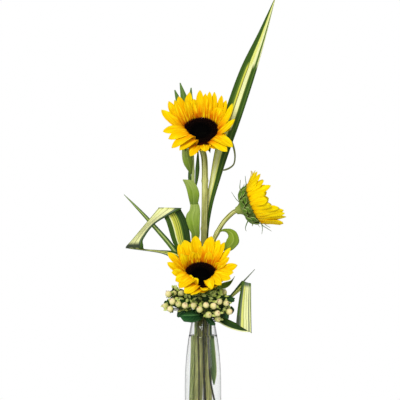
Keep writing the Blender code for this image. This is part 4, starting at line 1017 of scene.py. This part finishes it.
# Colours at a leaf's base, middle and tip, of its veins and of its dark mottling.
LEAF_LOOKS = {
    "leafy": ("leafy leaf", (0.03, 0.06, 0.004), (0.22, 0.34, 0.025), (0.42, 0.51, 0.14), (0.5, 0.6, 0.18),
        (0.08, 0.15, 0.008), 0.45, 0.15),
    "leafy_dark": ("dark leafy leaf", (0.05, 0.1, 0.01), (0.045, 0.11, 0.015), (0.09, 0.16, 0.03), (0.18, 0.28, 0.07),
        (0.014, 0.05, 0.008)),
    "leafy_tip": ("leafy tip leaf", (0.06, 0.13, 0.02), (0.09, 0.19, 0.03), (0.12, 0.23, 0.05), (0.26, 0.38, 0.12),
        (0.03, 0.09, 0.01)),
    "curled": ("curled narrow leaf", (0.12, 0.14, 0.03), (0.18, 0.22, 0.06), (0.26, 0.29, 0.11), (0.38, 0.4, 0.18),
        (0.07, 0.1, 0.02)),
    "lime": ("lime leaf", (0.14, 0.2, 0.02), (0.23, 0.34, 0.02), (0.22, 0.34, 0.03), (0.44, 0.54, 0.1),
        (0.08, 0.16, 0.006)),
    "collar": ("collar leaf", (0.002, 0.024, 0.004), (0.004, 0.045, 0.01), (0.02, 0.12, 0.025), (0.12, 0.3, 0.09),
        (0.001, 0.01, 0.004), 0.25, 0.45, 0.9, 9),
}


def all_materials():
    made = {
        "petal": petal_paint("petal", *PETAL_FACE, 0.75),
        "petal_back": petal_paint("petal back", *PETAL_BACK, 0.2),
        "disc": disc_paint(),
        "receptacle": receptacle_paint(),
        "bract": bract_paint(),
        "flower_stem": stem_paint("stem", (0.035, 0.042, 0.004), (0.35, 0.355, 0.05), (0.84, 0.84, 0.34)),
        "leafy_stem": stem_paint("leafy stem", (0.17, 0.24, 0.03), (0.36, 0.44, 0.11), (0.6, 0.66, 0.28)),
        **{look: leaf_paint(*values) for look, values in LEAF_LOOKS.items()},
        "twig": twig_paint(),
        "berry": berry_paint(),
        "sepal": sepal_paint(),
        "style": style_paint(),
        "glass": clear_paint("glass", (0.992, 0.998, 0.995), 1.45),
        "water": clear_paint("water", (0.992, 0.998, 0.99), 1.33),
    }
    for name, (_, sections) in FLAX.items():
        made[name] = flax_paint(name.replace("_", " "), sections)
    return made


# ---------------- vase, water and the pieces' making


def outer_radius(height):
    rise = max(0, height - BODY_TOP) / (VASE_HEIGHT - BODY_TOP)
    return BODY_RADIUS - (BODY_RADIUS - NECK_RADIUS) * rise * rise


def wall(inset, bottom, top):
    """The vase's wall from top to bottom, moved inwards by the inset."""
    points = [(outer_radius(height) - inset, height) for height in np.linspace(top, BODY_TOP, 26)]
    points += [(BODY_RADIUS - inset, height) for height in np.linspace(BODY_TOP, bottom + 10, 6)[1:]]
    for step in range(1, 7):
        turn = 0.5 * math.pi * step / 6
        points.append((BODY_RADIUS - inset - FOOT * (1 - math.cos(turn)), bottom + FOOT * (1 - math.sin(turn))))
    return [*points, (12, bottom), (0.05, bottom)]


def turned(name, profile, look, slot, node):
    turn, grids = circle(96), Grids()
    points = revolved(profile, turn)
    grids.add(points, turn / math.tau, np.linspace(0, 1, len(profile)), 0.5, 0, True, points)
    grids.put(name, [look], slot, [node], closed=True)


def vase_and_water():
    inner, outer = wall(GLASS, BASE_THICKNESS, VASE_HEIGHT - RIM), wall(0, 0, VASE_HEIGHT - RIM)
    rim = [(NECK_RADIUS - 0.5 * GLASS + 0.5 * GLASS * math.cos(turn), VASE_HEIGHT - RIM + RIM * math.sin(turn))
           for turn in np.linspace(math.pi, 0, 9)]
    turned("vase_glass", [*reversed(inner), *rim[1:-1], *outer], "glass", "clear_glass", "vase")
    inset = GLASS - WATER_OVERLAP
    edge = outer_radius(WATER_LEVEL) - inset
    surface = [(radius, WATER_LEVEL) for radius in (0.05, 8, edge - 0.6, edge - 0.2)]
    below = wall(inset, BASE_THICKNESS - WATER_OVERLAP, WATER_LEVEL)
    turned("vase_water", [*surface, *below], "water", "water", "water")


def blade(name, look, slot, thickness, make, *values):
    grids = Grids()
    make(grids, *values)
    grids.put(name + "_blade", [look], slot, [name], thickness=thickness)


def make_pieces():
    for name, head in HEADS.items():
        flower_petals(name, head)
        flower_disc(name, head)
        flower_calyx(name, head)
    for name, (radius, joints, painted_shading, route) in STEMS.items():
        look, grids = "leafy_stem" if name == "leafy_stem" else "flower_stem", Grids()
        # Each stem's painted light and shade along its height.
        tube(grids, route, radius, 20, 2.5, painted_shading, 0, 1, 0.035, joints)
        grids.put(name + "_round", [look], look, [name], closed=True)

    for name, (look, *values) in LEAFY_LEAVES.items():
        blade(name, look, "leafy_leaf", LEAF_THICKNESS, leaf, *values, 0, 0.3, 8, 0.5)
    for name, rows in CLASPING_LEAVES.items():
        blade(name, "leafy", "leafy_leaf", LEAF_THICKNESS, ribbon, rows, 12, 7, 0, 0.3, 0.4)
    for name, values in COLLAR_LEAVES.items():
        blade(name, "collar", "collar_leaf", LEAF_THICKNESS, leaf, *values, 0, 0.3, 10, 0.6)
    for name, (rows, _) in FLAX.items():
        blade(name, name, "flax_leaf", FLAX_THICKNESS, ribbon, rows, 14, 9)
    for order, (name, (route, berries, foliage, painted_shade_places)) in enumerate(SPRIGS.items()):
        leaflets = leaflets_of(route, 300 + order, 9) + greenery_of(berries, 500 + order, 2)
        # The broad dark leaves at the last places are painted shade in the bunch.
        leaflets += greenery_of(foliage, 600 + order, 4) + greenery_of(painted_shade_places, 700 + order, 0)
        sprig(name, route, berries, leaflets, 400 + order)
    vase_and_water()


# ---------------- floor, light and camera

FLOOR_RADIUS = 0.95
# The world's strength for scattered rays, and what a mirror reflection of it is multiplied by.
SCATTERED_WORLD = 0.38
MIRRORED_WORLD = 0.42
CAMERA_DISTANCE = 2.6
# How wide the picture is at the vase.
VIEW_WIDTH = 0.68
SENSOR = 36


def area_light(name, place, target, size, power):
    lamp = bpy.data.lights.new(name, "AREA")
    lamp.shape = "SQUARE"
    lamp.size = size
    lamp.energy = power
    made = placed(name, lamp)
    made.location = place
    made.rotation_euler = (Vector(target) - Vector(place)).to_track_quat("-Z", "Y").to_euler()
    made.visible_glossy = False


def make_world(world):
    """White where the camera sees it straight or through glass, and dimmer for scattered and mirrored rays."""
    world.use_nodes = True
    nodes = Nodes(world.node_tree)
    background = nodes.tree.nodes["Background"].inputs
    nodes.link((1, 1, 1), background["Color"])
    path = nodes.tree.nodes.new("ShaderNodeLightPath").outputs
    seen = nodes.calc("MAXIMUM", path["Is Camera Ray"], path["Is Transmission Ray"])
    strength = nodes.node("MapRange", {"To Min": SCATTERED_WORLD, "To Max": 1, "Value": seen})
    mirrored = nodes.node("MapRange", {"To Min": 1, "To Max": MIRRORED_WORLD, "Value": path["Glossy Depth"]})
    nodes.link(nodes.calc("MULTIPLY", strength, mirrored), background["Strength"])
    return world


def make_floor():
    mesh = bpy.data.meshes.new("floor")
    turns = [math.tau * side / 96 for side in range(96)]
    ring = [(FLOOR_RADIUS * math.cos(turn), FLOOR_RADIUS * math.sin(turn), -0.0006) for turn in turns]
    mesh.from_pydata(ring, [], [tuple(range(len(ring)))])
    paint = Paint("floor", 0.6)
    place = paint.node("TexCoord", {}, "Object")
    paint.colour = paint.rise(paint.noise((40, 40, 40), 4, 0.6, place), 0.3, 0.7, 0.8, 0.86)
    mesh.materials.append(paint.finish())
    placed("floor", mesh)


def make_studio():
    scene = bpy.context.scene
    scene.view_settings.view_transform = "Standard"
    scene.world = make_world(bpy.data.worlds.new("studio"))
    make_floor()
    area_light("key", (-0.9, -2.3, 1.7), (0, 0, 0.45), 1.5, 66)
    area_light("fill", (1.9, -1.6, 0.9), (0, 0, 0.4), 1.4, 9)
    area_light("back", (0.7, 1.5, 1.9), (0, 0, 0.5), 0.9, 16)
    camera = bpy.data.cameras.new("camera")
    camera.sensor_width = SENSOR
    camera.lens = SENSOR * CAMERA_DISTANCE / VIEW_WIDTH
    scene.camera = placed("camera", camera)
    scene.camera.location = (-0.0051, -CAMERA_DISTANCE, 0.4972)
    scene.camera.rotation_euler = (math.radians(90), 0, 0)


MATERIALS = all_materials()
make_pieces()
make_studio()
